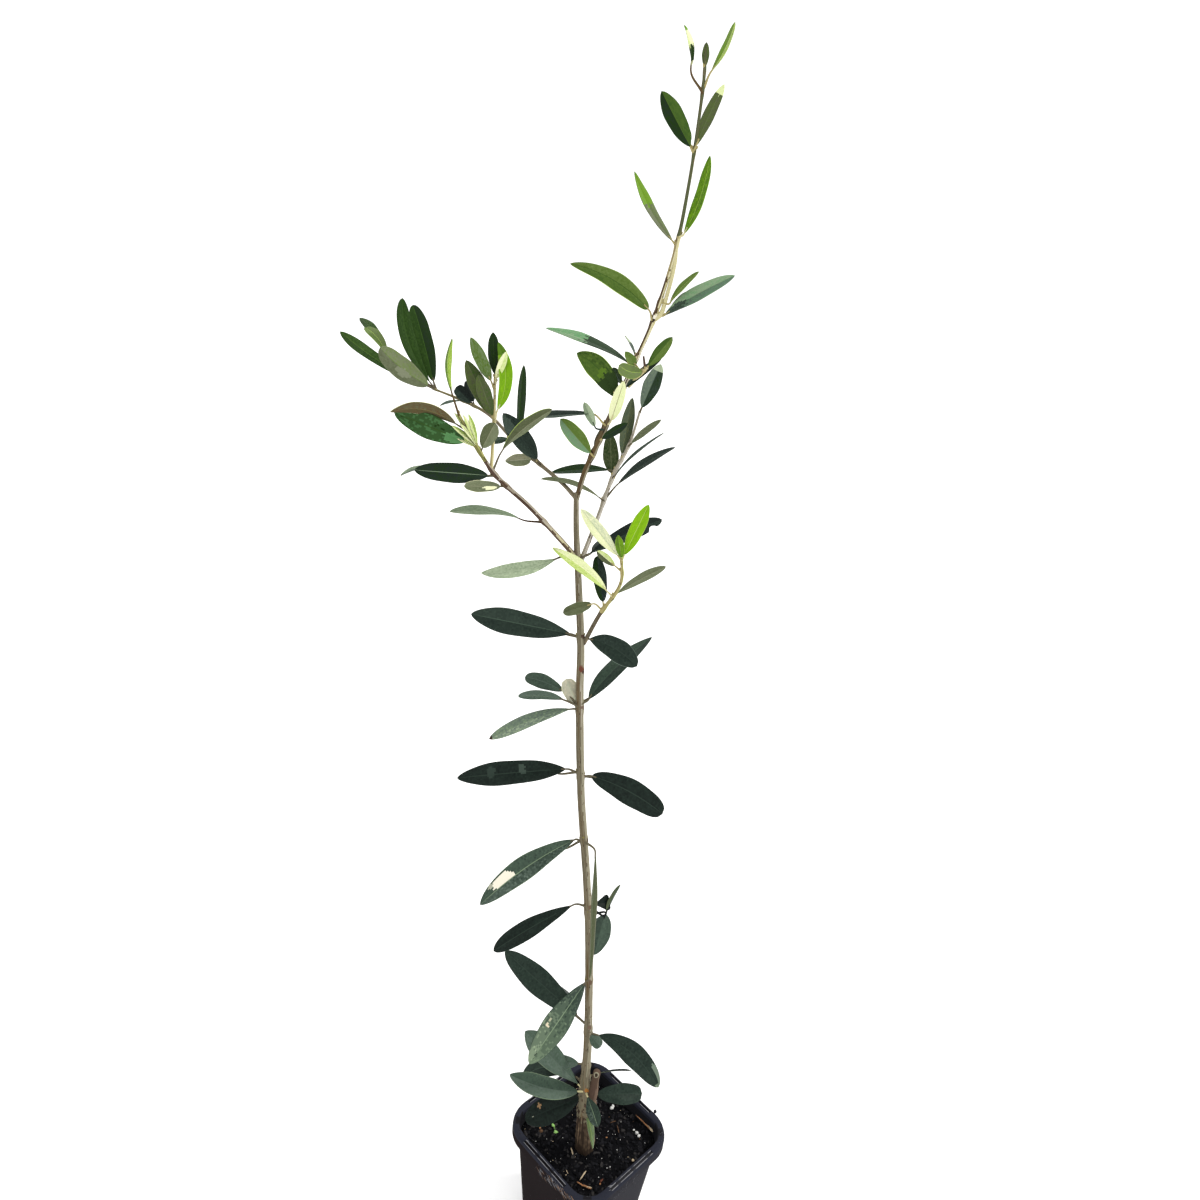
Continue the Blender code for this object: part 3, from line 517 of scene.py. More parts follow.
    ("v1", LD, (703, 94), (684.5, 25), 5, 5, "u", "WV", "XW", dict(start=(691, 66), real=6, stalk="i", spots=[(0.3, 0, 0.2, 3, "U"), (0.96, 0, 0.08, 3, "B")])),
    ("v2", LD, (705, 90), (735, 22), -5, 6.5, "u", "NB", "VN", dict(start=(711.5, 71), mid=(725, 49))),
    ("v3", LD, (706, 70), (706.5, 42), 0, 7.5, "d", "OM", "OM", dict(petiole=0.5)),
]


# leaves of the far side, which the picture's own leaves hide
BEHIND = [
    ("x1", T, (589, 1027), (542, 982), -50, 9, "u", "DE", "DE", dict(start=(570, 1008))),
    ("x2", T, (587, 840), (536, 864), -50, 8, "u", "DE", "DE", dict(start=(562, 849))),
    ("x3", T, (584, 773), (513, 777), -50, 9, "u", "DE", "DE", dict(start=(556, 773))),
    ("x4", T, (585, 776), (628, 791), -50, 9, "u", "DE", "DE", dict(start=(597, 778))),
    ("x5", T, (583, 638), (528, 627), -50, 8, "u", "DE", "DE", dict(start=(562, 632.5))),
    ("x6", T, (580, 559), (625, 537), -50, 7, "u", "DE", "DE", dict(start=(592, 552))),
    ("x7", T, (581, 704), (624, 664), -45, 7, "u", "DE", "DE", dict(start=(595, 692))),
    ("x8", T, (591, 981), (555, 1028), -48, 9, "u", "EF", "EF", dict(start=(580, 991))),
    ("x9", LD, (622, 394), (593, 370), -55, 8, "u", "EM", "EM", dict(start=(611, 390))),
    ("x10", B, (540, 463), (516, 433), -52, 8, "u", "DE", "DE", dict(start=(533, 456))),
    ("x11", A, (494, 477), (447, 473), -42, 8, "u", "DE", "DE", dict(start=(484, 476))),
    ("x12", LD, (693, 152), (677, 117), -50, 6, "u", "LM", "LM", dict(start=(690, 143))),
    ("x13", LD, (657, 317), (704, 288), -45, 6, "u", "EM", "EM", dict(start=(671, 311))),
    ("x14", B, (437, 388), (422, 346), -45, 7, "u", "UL", "UL", dict(start=(433, 378))),
    ("x15", C, (640, 412), (653, 384), -52, 7, "u", "EF", "EF", dict(start=(643, 404))),
]


def leaf(piece, stalks, row, rng):
    name, limb, foot_px, tip_px, lean, width_px, seen, left, right, own = row
    centre, radius, limb_way, _ = on_limb(limb, *foot_px)
    to_foot = centre - CAM_AT
    tip_ray = sight(*tip_px)
    flat_tip = CAM_AT + tip_ray * ((to_foot @ to_foot) / (tip_ray @ to_foot))
    reach = np.linalg.norm(flat_tip - centre)
    tip = flat_tip - tip_ray * reach * math.tan(math.radians(lean))
    chord = unit(tip - centre)
    # out of the bark, square to the limb as far as the leaf goes that way
    foot = centre + unit(chord - limb_way * (chord @ limb_way) * 0.6) * radius * 0.8
    ray = sight(*foot_px)
    nearest = CAM_AT + ray * ((centre - CAM_AT) @ ray)
    miss = np.linalg.norm(nearest - centre)
    if miss < 0.78 * radius and lean > -16:
        # it leaves the limb on the side that faces the camera
        foot = nearest - ray * math.sqrt(radius**2 - miss**2) * 0.9
    span = np.linalg.norm(tip - foot)
    chord = unit(tip - foot)
    middle = (tip + foot) / 2
    to_camera = unit(CAM_AT - middle)
    facing = unit(to_camera - chord * (to_camera @ chord))
    beside = np.cross(facing, chord)  # to the left as one looks from foot to tip
    scale = FOCAL / ((middle - CAM_AT) @ CAM_FORWARD)  # pixels in a mm
    seen_width = width_px / scale
    ratio = 0.205 if limb == T else 0.19
    real = own.get("real", max(seen_width, span * ratio))
    tilt = math.acos(max(0.12, min(1.0, seen_width / real)))
    up_sign = 1.0 if seen == "u" else -1.0
    choices = [facing * math.cos(tilt) + beside * math.sin(tilt) * sign for sign in (1, -1)]
    best = max(choices, key=lambda face: face[2] * up_sign)
    if own.get("flip"):
        best = choices[0] if best is choices[1] else choices[1]
    face = best
    upper = face * up_sign
    across = np.cross(face, chord)

    # the line of its midrib
    rows = max(16, min(66, int(span / 1.1)))
    t = np.linspace(0, 1, rows)
    arch = own.get("arch", 0.045 + 0.02 * rng.random()) * span
    bow, peak = 0.0, own.get("peak", 0.42)
    if "mid" in own:
        ray = sight(*own["mid"])
        halfway = middle
        if "start" in own:
            away = foot - CAM_AT
            first = sight(*own["start"])
            halfway = (tip + CAM_AT + first * ((away @ away) / (first @ away))) / 2
        away = halfway - CAM_AT
        flat = CAM_AT + ray * ((away @ away) / (ray @ away))
        bow = (flat - halfway) @ beside - arch * (upper @ beside)
        peak = own.get("peak", 0.5)
    hump = (t**peak * (1 - t) ** (1 - peak)) / (peak**peak * (1 - peak) ** (1 - peak))
    hump = hump**2
    petiole = own.get("petiole", min(6.0, 0.1 * span) if limb == T else min(4.2, 0.085 * span))
    begin = foot
    if "start" in own:
        # the blade begins where the picture shows it, at the end of its own stalk
        ray = sight(*own["start"])
        away = foot + chord * min(5.0, 0.1 * span) - CAM_AT
        begin = CAM_AT + ray * ((away @ away) / (ray @ away))
        petiole = 0.0
    line = begin + np.outer(t, tip - begin) + np.outer(hump, beside) * bow + np.outer(hump, upper) * arch
    far = np.concatenate([[0], np.cumsum(np.linalg.norm(np.diff(line, axis=0), axis=1))])
    start = petiole / far[-1]
    blade_t = np.linspace(start, 1, rows)
    line_blade = np.stack([np.interp(blade_t, far / far[-1], line[:, k]) for k in range(3)], axis=1)
    ways = np.gradient(line_blade, axis=0)
    ways /= np.linalg.norm(ways, axis=1)[:, None]

    wide = own.get("wide", 0.52)
    blunt = own.get("blunt", 0.35)
    to_tip = 0.85 - 0.45 * blunt
    to_foot = to_tip * wide / (1 - wide)
    place = np.linspace(0, 1, rows)
    profile = (place / wide) ** to_foot * ((1 - place) / (1 - wide)) ** to_tip
    half = real / 2 * profile * (1 + 0.025 * np.sin(rng.uniform(0, 6) + np.linspace(0, 14, rows)))
    bites = {1: np.ones(rows), -1: np.ones(rows)}
    for along, side, size, depth in own.get("bites", ()):
        bites[side] *= 1 - depth * np.exp(-(((place - along) / size) ** 4))
    fold = math.radians(own.get("fold", 9 + 7 * rng.random()))
    twist = math.radians(own.get("twist", rng.uniform(-7, 7)))
    curl = own.get("curl", 0.10)
    us = np.array([-1, -0.95, -0.82, -0.66, -0.5, -0.34, -0.18, -0.035, 0.035, 0.18, 0.34, 0.5, 0.66, 0.82, 0.95, 1])
    wave = rng.uniform(0, 6.28)
    top, low = [], []
    for i in range(rows):
        spin = twist * (blade_t[i] - 0.5)
        a = unit(across - ways[i] * (across @ ways[i]))
        u_dir = np.cross(ways[i], a)
        u_dir = u_dir if u_dir @ upper > 0 else -u_dir
        a2 = a * math.cos(spin) + u_dir * math.sin(spin)
        n2 = u_dir * math.cos(spin) - a * math.sin(spin)
        for u in us:
            w = u * half[i] * bites[1 if u > 0 else -1][i]
            lift = abs(w) * math.tan(fold) - curl * half[i] * max(0.0, abs(u) - 0.55) * 1.6
            lift += 0.05 * half[i] * math.sin(wave + 9 * blade_t[i] + 2 * u) * abs(u)
            place = line_blade[i] + a2 * w + n2 * lift
            groove = 0.0 if abs(u) > 0.04 else -0.12
            ridge = 0.0 if abs(u) > 0.04 else 0.22
            thick = 0.14 if abs(u) < 0.99 else 0.0
            top.append(place + n2 * (thick + groove))
            low.append(place - n2 * (thick + ridge))
    cols = len(us)
    points = np.array(top + low)
    shift = rows * cols
    highlight_specks = own.get("highlight_specks", 0.0)
    # painted light: the leaf lighter towards its tip and towards its edges, by its own figures
    glow_along, glow_across = own.get("grad", (0.0, 0.0))
    calm = own.get("calm", 1.0)
    rib, rim = own.get("rib"), own.get("rim")
    spots = own.get("spots", ())
    seed = Vector((rng.random() * 90, rng.random() * 90, 0))
    middle_strip = cols // 2 - 1

    def tint(i, k, shown):
        u = (us[k] + us[k + 1]) / 2
        s = (i + 0.5) / (rows - 1)
        if shown:
            # spots: the leaf's own marks, and painted sheen and highlight
            for along, over, size_along, size_over, code in spots:
                rough = noise.noise(Vector((s * 34, u * 4, 7.0)) + seed)
                if ((s - along) / size_along) ** 2 + ((u - over) / size_over) ** 2 < 1 + 0.7 * rough:
                    return code
            pair = left if u > 0 else right
        else:
            pair = "PQ" if seen == "u" else "DE"
        if len(pair) == 1:
            pair += PALER[pair]
        if k == middle_strip:
            return rib if (rib and shown) else pair[0] + PALER[pair[0]] + "3"
        # the edge strip paler, the lower edge most: a painted glow of light along the leaf's edge
        if k in (0, cols - 2) and shown:
            return rim if rim else pair[0] + PALER[pair[0]] + ("3" if (u < 0) == (beside[2] > 0) else "1")
        grain = noise.noise(Vector((s * span * 0.13, u * real * 0.2, 0)) + seed)
        fine = noise.noise(Vector((s * span * 0.9, u * real * 0.9, 3)) + seed)
        level = 1.3 + calm * (1.1 * grain + 1.6 * fine + rng.uniform(-0.8, 0.8)) + 4 * glow_along * (s - 0.5) + 4 * glow_across * (abs(u) - 0.5)
        # fine pale specks scattered on the shown side: painted glints of light off the leaf's scales
        if shown and highlight_specks and rng.random() < highlight_specks:
            level += 2.2 * calm
        return pair + str(int(max(0, min(4, round(level)))))

    # across grows to the left of the way from foot to tip as the camera sees it
    faces, codes = [], []
    for side_up in (True, False):
        offset = 0 if side_up else shift
        shown = side_up == (seen == "u")
        for i in range(rows - 1):
            for k in range(cols - 1):
                p = offset + i * cols + k
                quad = (p, p + 1, p + cols + 1, p + cols)
                faces.append(quad if side_up else quad[::-1])
                codes.append(tint(i, k, shown))
    for i in range(rows - 1):
        for k, flip in ((0, False), (cols - 1, True)):
            a0, b0 = i * cols + k, (i + 1) * cols + k
            quad = (a0, b0, b0 + shift, a0 + shift)
            faces.append(quad[::-1] if flip else quad)
            codes.append(tint(i, min(k, cols - 2), True))
    piece.add(points, faces, codes)

    # its stalk, and the bud in its axil
    if "start" in own:
        into = line_blade[min(3, rows - 1)]
        way = unit(into - begin)
        gap = np.linalg.norm(begin - foot)
        ease = np.linspace(0, 1, 9)[:, None]
        out_way = unit(begin - foot)
        one, two = foot + out_way * gap * 0.4, begin - way * gap * 0.4
        stalk = foot * (1 - ease) ** 3 + 3 * one * ease * (1 - ease) ** 2 + 3 * two * ease**2 * (1 - ease) + begin * ease**3
        stalk = np.vstack([stalk, into])
        petiole = gap
    elif petiole > 0.3:
        stalk_t = np.linspace(0, start * 1.15, max(4, int(petiole / 2) + 2))
        stalk = np.stack([np.interp(stalk_t, far / far[-1], line[:, k]) for k in range(3)], axis=1)
        stalk[0] -= chord * radius * 0.5
    if petiole > 0.3:
        thick = np.linspace(0.85, 0.52, len(stalk)) * (1.0 if limb == T else 0.75)
        young = left[0] in "XWVBCN" or limb in (LD, R, D, A2)
        tube(stalks, stalk, thick, 7, own.get("stalk", "l" if left[0] in "XWVBC" else ("k" if young else "c")))


def bud(piece, place, way, size, code, rng):
    """A small pointed bud."""
    line = np.array([place + way * size * s for s in (0, 0.35, 0.75, 1.0)])
    tube(piece, line, np.array([0.26, 0.36, 0.24, 0.04]) * size, 6, code)


def make_leaves():
    rng = random.Random(SEED)
    groups = {"leaves_low": Piece("leaves_low"), "leaves_boughs": Piece("leaves_boughs"), "leaves_top": Piece("leaves_top")}
    stalks = Piece("leaf_stalks")
    for row in LEAVES + BEHIND:
        limb = row[1]
        group = "leaves_low" if limb == T else "leaves_top" if limb in (LD, R) else "leaves_boughs"
        leaf(groups[group], stalks, row, rng)
        centre, radius, way, _ = on_limb(limb, *row[2])
        out = unit(sight(*row[3]) - sight(*row[2]))
        out = unit(out - way * (out @ way))
        bud(stalks, centre + out * radius * 0.7 + way * 1.2, unit(way * 0.8 + out * 0.6), 2.0 if limb == T else 1.6, "k" if limb != T else "m", rng)
    return {name: piece.build() for name, piece in groups.items()}, stalks.build()


# -------------------------------------------------------------------- bark


def knots(limb):
    """Where leaves leave a limb: indices of its run."""
    return sorted({on_limb(row[1], *row[2])[3] for row in LEAVES if row[1] == limb})


BARK = {
    # limb: tints of the shaded side, tints of the sunny side
    "trunk": ("ccdi", "deef"),
    "stub": ("b55", "566"),
    "leader": ("cbic", "necn"),
    "bough_left": ("j57", "nfl"),
    "bough_back_left": ("ncn", "fne"),
    "bough_back_right": ("ef0", "f00"),
    "shoot_low_right": ("5cj", "n8c"),
    "shoot_left_up": ("kkl", "lll"),
    "shoot_top_right": ("kl", "ll"),
}
SUNNY = unit(np.array([0.85, 0.1, 0.35]))
# scars, old nodes and one painted highlight: limb, where they show, half width and half height in the picture, tint
MARKS = [
    ("trunk", 581, 670, 3.0, 3.2, "g"),
    ("trunk", 583, 673, 1.6, 1.8, "5"),
    ("trunk", 586, 776, 2.2, 2.6, "g"),
    ("trunk", 586, 1091, 2.2, 2.0, "h"),
    ("trunk", 590, 1093, 2.2, 1.2, "h"),
    ("trunk", 594, 1089, 3.2, 1.5, "5"),
    ("trunk", 592, 1036, 2.2, 2.0, "7"),
    ("trunk", 589, 1028, 2.0, 2.0, "6"),
    ("trunk", 590, 983, 2.0, 2.4, "7"),
    ("trunk", 590, 908, 2.2, 2.2, "7"),
    # at the leader's fork: a near-white painted highlight of the sun, and the dark node beside it
    ("leader", 655, 318, 3.0, 3.0, "9"),
    ("leader", 652, 321, 2.0, 2.0, "a"),
    ("leader", 593.5, 462, 2.6, 1.8, "a"),
    ("trunk", 588, 841, 2.0, 2.0, "5"),
    ("trunk", 582, 708, 2.4, 2.0, "6"),
    ("trunk", 583, 637, 2.6, 2.2, "5"),
    ("trunk", 580, 559, 2.4, 2.0, "6"),
]


def limb_mesh(piece, name):
    run = smooth_run(LIMBS[name], 0.9)
    sides = 36 if name == "trunk" else 14
    n = len(run)
    radii = np.repeat((run[:, 3] / 2)[:, None], sides, axis=1)
    _, one, two = frames_along(run[:, :3])
    angles = np.arange(sides) * 2 * math.pi / sides
    nodes = np.array(knots(name) or [0], float) * 0.8 / 0.9
    seed = sum(ord(ch) for ch in name) * 0.37
    out = np.zeros((n, sides, 3))
    tints = {}
    shade, sun = BARK[name]
    for i in range(n):
        up = run[i, 2]
        old = max(0.0, min(1.0, (140 - up) / 45)) if name == "trunk" else 0.0
        swell = (0.16 if name == "trunk" else 0.3) * np.exp(-(((i - nodes) * 0.9) / 2.2) ** 2).max()
        for k, angle in enumerate(angles):
            way = one[i] * math.cos(angle) + two[i] * math.sin(angle)
            out[i, k] = way
            c, s = math.cos(angle), math.sin(angle)
            fibre = noise.noise(Vector((c * 2.6, s * 2.6, i * 0.035 + seed)))
            fine = noise.noise(Vector((c * 5.5, s * 5.5, i * 0.22 + seed)))
            lump = noise.noise(Vector((c * 0.9, s * 0.9, i * 0.06 + seed)))
            relief = 0.035 * fibre + 0.02 * fine + 0.05 * lump + swell
            relief += old * (0.10 * fibre + 0.07 * fine + 0.06 * lump)
            radii[i, k] *= 1 + relief
            sunny = way @ SUNNY + 0.45 * fibre + 0.15 * fine
            pick = sun if sunny > 0.12 else shade
            if name == "shoot_low_right" and up > 499:
                pick = "kVl" if sunny > 0.12 else "mkm"
            if name == "bough_left" and up > 577:
                pick = "VkV" if sunny > 0 else "NmN"
            if name == "bough_back_left" and up > 591:
                pick = "fkl" if sunny > 0 else "mcm"
            if name == "leader" and up > 608:
                # brown beside a pale sunlit edge, then the green of this year's growth
                pick = "kl9l" if sunny > -0.25 else "jibi"
                if up > 672:
                    pick = ("9ll" if sunny > -0.3 else "7kl") if up < 690 else ("PmP" if sunny > 0.2 else "iOP")
            streak = noise.noise(Vector((c * 4.2 + 9, s * 4.2, i * 0.022 + seed))) + 0.25 * noise.noise(Vector((c * 8, s * 8, i * 0.1 + seed)))
            place = min(0.999, max(0.0, 0.5 + streak * 0.8)) * (len(pick) - 1)
            code = pick[int(place)] + pick[int(place) + 1] + str(int((place % 1) * 4 + 0.5))
            if old > 0.25 + 0.5 * fine:
                # rough old bark in long strips, dark where it meets the soil, and lighter on the side toward the sun,
                # which is painted light
                strips = noise.noise(Vector((c * 7 + 3, s * 7, i * 0.05 + seed))) + 0.5 * noise.noise(Vector((c * 15, s * 15, i * 0.3)))
                deep = 1.6 + 2.6 * strips + 1.2 * (way @ SUNNY) - 2.2 * max(0.0, (101 - up) / 12)
                deep = max(0.0, min(2.99, deep))
                code = "ab78"[int(deep)] + "ab78"[int(deep) + 1] + str(int((deep % 1) * 4))
            at = shows_at(run[i, :3] + way * run[i, 3] / 2)
            if way @ CAM_FORWARD < 0.1:
                for limb, x, y, half_x, half_y, mark in MARKS:
                    if limb == name and ((at[0] - x) / half_x) ** 2 + ((at[1] - y) / half_y) ** 2 < 1 + 0.8 * fine:
                        code = mark
            tints[i, k] = code
    if name == "trunk":
        # flare at the foot, in a few ribs
        for i in range(n):
            low = max(0.0, (104 - run[i, 2]) / 20)
            if low:
                for k, angle in enumerate(angles):
                    radii[i, k] *= 1 + 0.05 * low * math.sin(3 * angle + 1.1) + 0.04 * low * math.sin(7 * angle)
    tube(piece, run[:, :3], radii, sides, lambda i, k: tints[i, k])


def make_bark():
    piece = Piece("bark")
    for name in LIMBS:
        limb_mesh(piece, name)
    # the healed cut on the face of the old stem: a pale ring round a dark hollow
    centre, radius, way, _ = on_limb(ST, 595.5, 1069.5)
    ray = sight(595.5, 1069.5)
    face = unit(-ray - way * (-ray @ way))
    beside = np.cross(way, face)
    middle = centre + face * radius * 1.02
    round_it = np.linspace(0, 2 * math.pi, 19)[:-1]
    ring = np.array([middle + way * 2.3 * math.sin(a) + beside * 1.35 * math.cos(a) - face * 0.35 * abs(math.cos(a)) for a in round_it])
    tube(piece, np.vstack([ring, ring[:1]]), np.full(len(ring) + 1, 0.45), 6, "e", caps=False)
    hollow = np.vstack([[middle + face * 0.2], ring + face * 0.1])
    piece.add(hollow, [(0, 1 + k, 1 + (k + 1) % len(ring)) for k in range(len(ring))], "a")
    # the shoot that runs beside the leader above its fork, painted in two long halves, near-white as a painted sunlit
    # highlight and cream, and a dry stub
    for limb, path, thick, codes in [
        (LD, ((655, 319.5), (661.5, 313), (666.5, 297), (671, 281), (675, 263), (676.5, 249)), (1.2, 1.15, 1.0, 0.95, 0.9, 0.8), "9l"),
        (R, ((645, 370), (644.5, 364), (643.5, 356)), (0.7, 0.65, 0.5), "55"),
    ]:
        stations = []
        for (x, y), radius in zip(path, thick):
            ray = sight(x, y)
            near = on_limb(limb, x, y)[0]
            stations.append((*(CAM_AT + ray * np.linalg.norm(near - CAM_AT)), radius))
        run = smooth_run(stations, 0.8)
        tube(piece, run[:, :3], run[:, 3], 10, lambda i, k: codes[(k // 5) % 2])
    return piece.build()


# --------------------------------------------------------------------- pot

POT_HEIGHT = 100.0
RIM_HALF = 45.0
RIM_RADIUS = 21.5
RIM_DEEP = 8.7
RIM_THICK = 1.6
SKIRT_WALL = 1.2
WALL_TOP_HALF = 39.8
WALL_FOOT_HALF = 32.6
WALL_RADIUS = 15.0
WALL = 1.1
FLOOR = 1.6
SLOT_LONG = 42.0
SLOT_WIDE = 2.0
SOIL_TOP = 89.0


def wall_half(height, inward=0.0):
    share = height / (POT_HEIGHT - RIM_DEEP)
    return WALL_FOOT_HALF + (WALL_TOP_HALF - WALL_FOOT_HALF) * share - inward


def square_ring(half, radius, corner=10, straight=8):
    """Points of a square with round corners, in order, the same number for any size."""
    radius = max(0.3, min(radius, half - 0.5))
    points = []
    for quarter in range(4):
        turn = quarter * math.pi / 2
        c, s = math.cos(turn), math.sin(turn)
        local = [(half, -half + radius + (2 * half - 2 * radius) * k / straight) for k in range(straight)]
        for k in range(corner):
            a = (math.pi / 2) * k / corner
            local.append((half - radius + radius * math.cos(a), half - radius + radius * math.sin(a)))
        points += [(x * c - y * s, x * s + y * c) for x, y in local]
    return points


def loft(name, levels, closed=True):
    """A mesh through rounded squares: levels are (half, corner radius, height)."""
    rings = [[(x * MM, y * MM, z * MM) for x, y in square_ring(half, radius)] for half, radius, z in levels]
    n = len(rings[0])
    points = [p for ring in rings for p in ring]
    faces = []
    for i in range(len(rings) - 1):
        for k in range(n):
            m = (k + 1) % n
            faces.append((i * n + k, i * n + m, (i + 1) * n + m, (i + 1) * n + k))
    if closed:
        faces.append(tuple(range(n - 1, -1, -1)))
        faces.append(tuple((len(rings) - 1) * n + k for k in range(n)))
    mesh = bpy.data.meshes.new(name)
    mesh.from_pydata(points, [], faces)
    bm = bmesh.new()
    bm.from_mesh(mesh)
    bmesh.ops.recalc_face_normals(bm, faces=bm.faces)
    bm.to_mesh(mesh)
    bm.free()
    obj = bpy.data.objects.new(name, mesh)
    bpy.context.scene.collection.objects.link(obj)
    return obj


def apply_modifiers(obj):
    bpy.context.view_layer.update()
    graph = bpy.context.evaluated_depsgraph_get()
    mesh = bpy.data.meshes.new_from_object(obj.evaluated_get(graph))
    obj.modifiers.clear()
    obj.data = mesh


def make_pot():
    low_wall = POT_HEIGHT - RIM_DEEP
    inner = RIM_HALF - SKIRT_WALL
    levels = [(WALL_FOOT_HALF - 8, 9, 0.9), (WALL_FOOT_HALF - 5, 11, 0.8), (WALL_FOOT_HALF - 4, 12, 0.0), (WALL_FOOT_HALF - 1.4, WALL_RADIUS - 1.4, 0.0),
              (WALL_FOOT_HALF - 0.4, WALL_RADIUS - 0.4, 0.5), (wall_half(1.5), WALL_RADIUS, 1.5)]
    levels += [(wall_half(z), WALL_RADIUS, z) for z in (12, 30, 50, 70, 85, 95)]
    levels += [(wall_half(98.2), WALL_RADIUS + 1, 98.2), (wall_half(98.4) + 1, WALL_RADIUS + 2, POT_HEIGHT - RIM_THICK)]
    levels += [(inner - 0.6, RIM_RADIUS - 2, POT_HEIGHT - RIM_THICK), (inner, RIM_RADIUS - 1.2, POT_HEIGHT - RIM_THICK - 0.6), (inner, RIM_RADIUS - 1.2, low_wall + 0.3)]
    levels += [(inner + 0.3, RIM_RADIUS - 0.9, low_wall), (RIM_HALF - 0.4, RIM_RADIUS - 0.4, low_wall), (RIM_HALF, RIM_RADIUS, low_wall + 0.5)]
    levels += [(RIM_HALF, RIM_RADIUS, POT_HEIGHT - 2.0), (RIM_HALF - 0.35, RIM_RADIUS - 0.35, POT_HEIGHT - 0.8), (RIM_HALF - 1.1, RIM_RADIUS - 1.1, POT_HEIGHT - 0.15),
               (RIM_HALF - 2.0, RIM_RADIUS - 2.0, POT_HEIGHT)]
    levels += [(wall_half(100, WALL) + 1.1, WALL_RADIUS + 1.5, POT_HEIGHT - 0.1), (wall_half(99.4, WALL) + 0.2, WALL_RADIUS + 0.2, POT_HEIGHT - 0.8)]
    levels += [(wall_half(z, WALL), WALL_RADIUS - WALL, z) for z in (97, 90, 70, 40, 12, 4)]
    levels += [(wall_half(FLOOR, WALL) - 1.5, WALL_RADIUS - 2.6, FLOOR), (12, 5, FLOOR)]
    pot = loft("pot_shell", levels)
    cutters = []
    for turn in range(4):
        bm = bmesh.new()
        bmesh.ops.create_cube(bm, size=1.0, matrix=Matrix.Rotation(turn * math.pi / 2, 4, "Z") @ Matrix.Translation((0, (inner - SLOT_WIDE / 2 - 0.25) * MM, POT_HEIGHT * MM))
                              @ Matrix.Diagonal((SLOT_LONG * MM, SLOT_WIDE * MM, 7 * MM, 1)))
        mesh = bpy.data.meshes.new("slot")
        bm.to_mesh(mesh)
        bm.free()
        obj = bpy.data.objects.new("slot", mesh)
        bpy.context.scene.collection.objects.link(obj)
        cutters.append(obj)
    for x in (-1, 1):
        for y in (-1, 1):
            bm = bmesh.new()
            bmesh.ops.create_cone(bm, cap_ends=True, segments=24, radius1=4 * MM, radius2=4 * MM, depth=8 * MM, matrix=Matrix.Translation((x * 20 * MM, y * 20 * MM, 1 * MM)))
            mesh = bpy.data.meshes.new("drain")
            bm.to_mesh(mesh)
            bm.free()
            obj = bpy.data.objects.new("drain", mesh)
            bpy.context.scene.collection.objects.link(obj)
            cutters.append(obj)
    for cutter in cutters:
        modifier = pot.modifiers.new("cut", "BOOLEAN")
        modifier.operation = "DIFFERENCE"
        modifier.solver = "EXACT"
        modifier.object = cutter
    apply_modifiers(pot)
    for cutter in cutters:
        bpy.data.objects.remove(cutter, do_unlink=True)
    pot.data.materials.clear()
    for code in "w13p":
        pot.data.materials.append(material(code))
    for face in pot.data.polygons:
        high, way = face.center.z / MM, face.normal
        # rim top and lip: "1", a painted bluish sheen of the sky
        if high > 97.5 and max(abs(face.center.x), abs(face.center.y)) > (WALL_TOP_HALF - 1) * MM:
            face.material_index = 1
        # faces turned inwards, the inside of the pot: "p", painted shade
        elif way.x * face.center.x + way.y * face.center.y < 0 and high > 1:
            face.material_index = 3
        # faces turned from the sun (towards -y or -x): "3", painted shade; the rest "w", the pot's own black
        elif way.y < -0.6 or way.x < -0.75:
            face.material_index = 2
        else:
            face.material_index = 0
    pot.data.shade_smooth()
    pot.data.set_sharp_from_angle(angle=math.radians(38))
    return pot


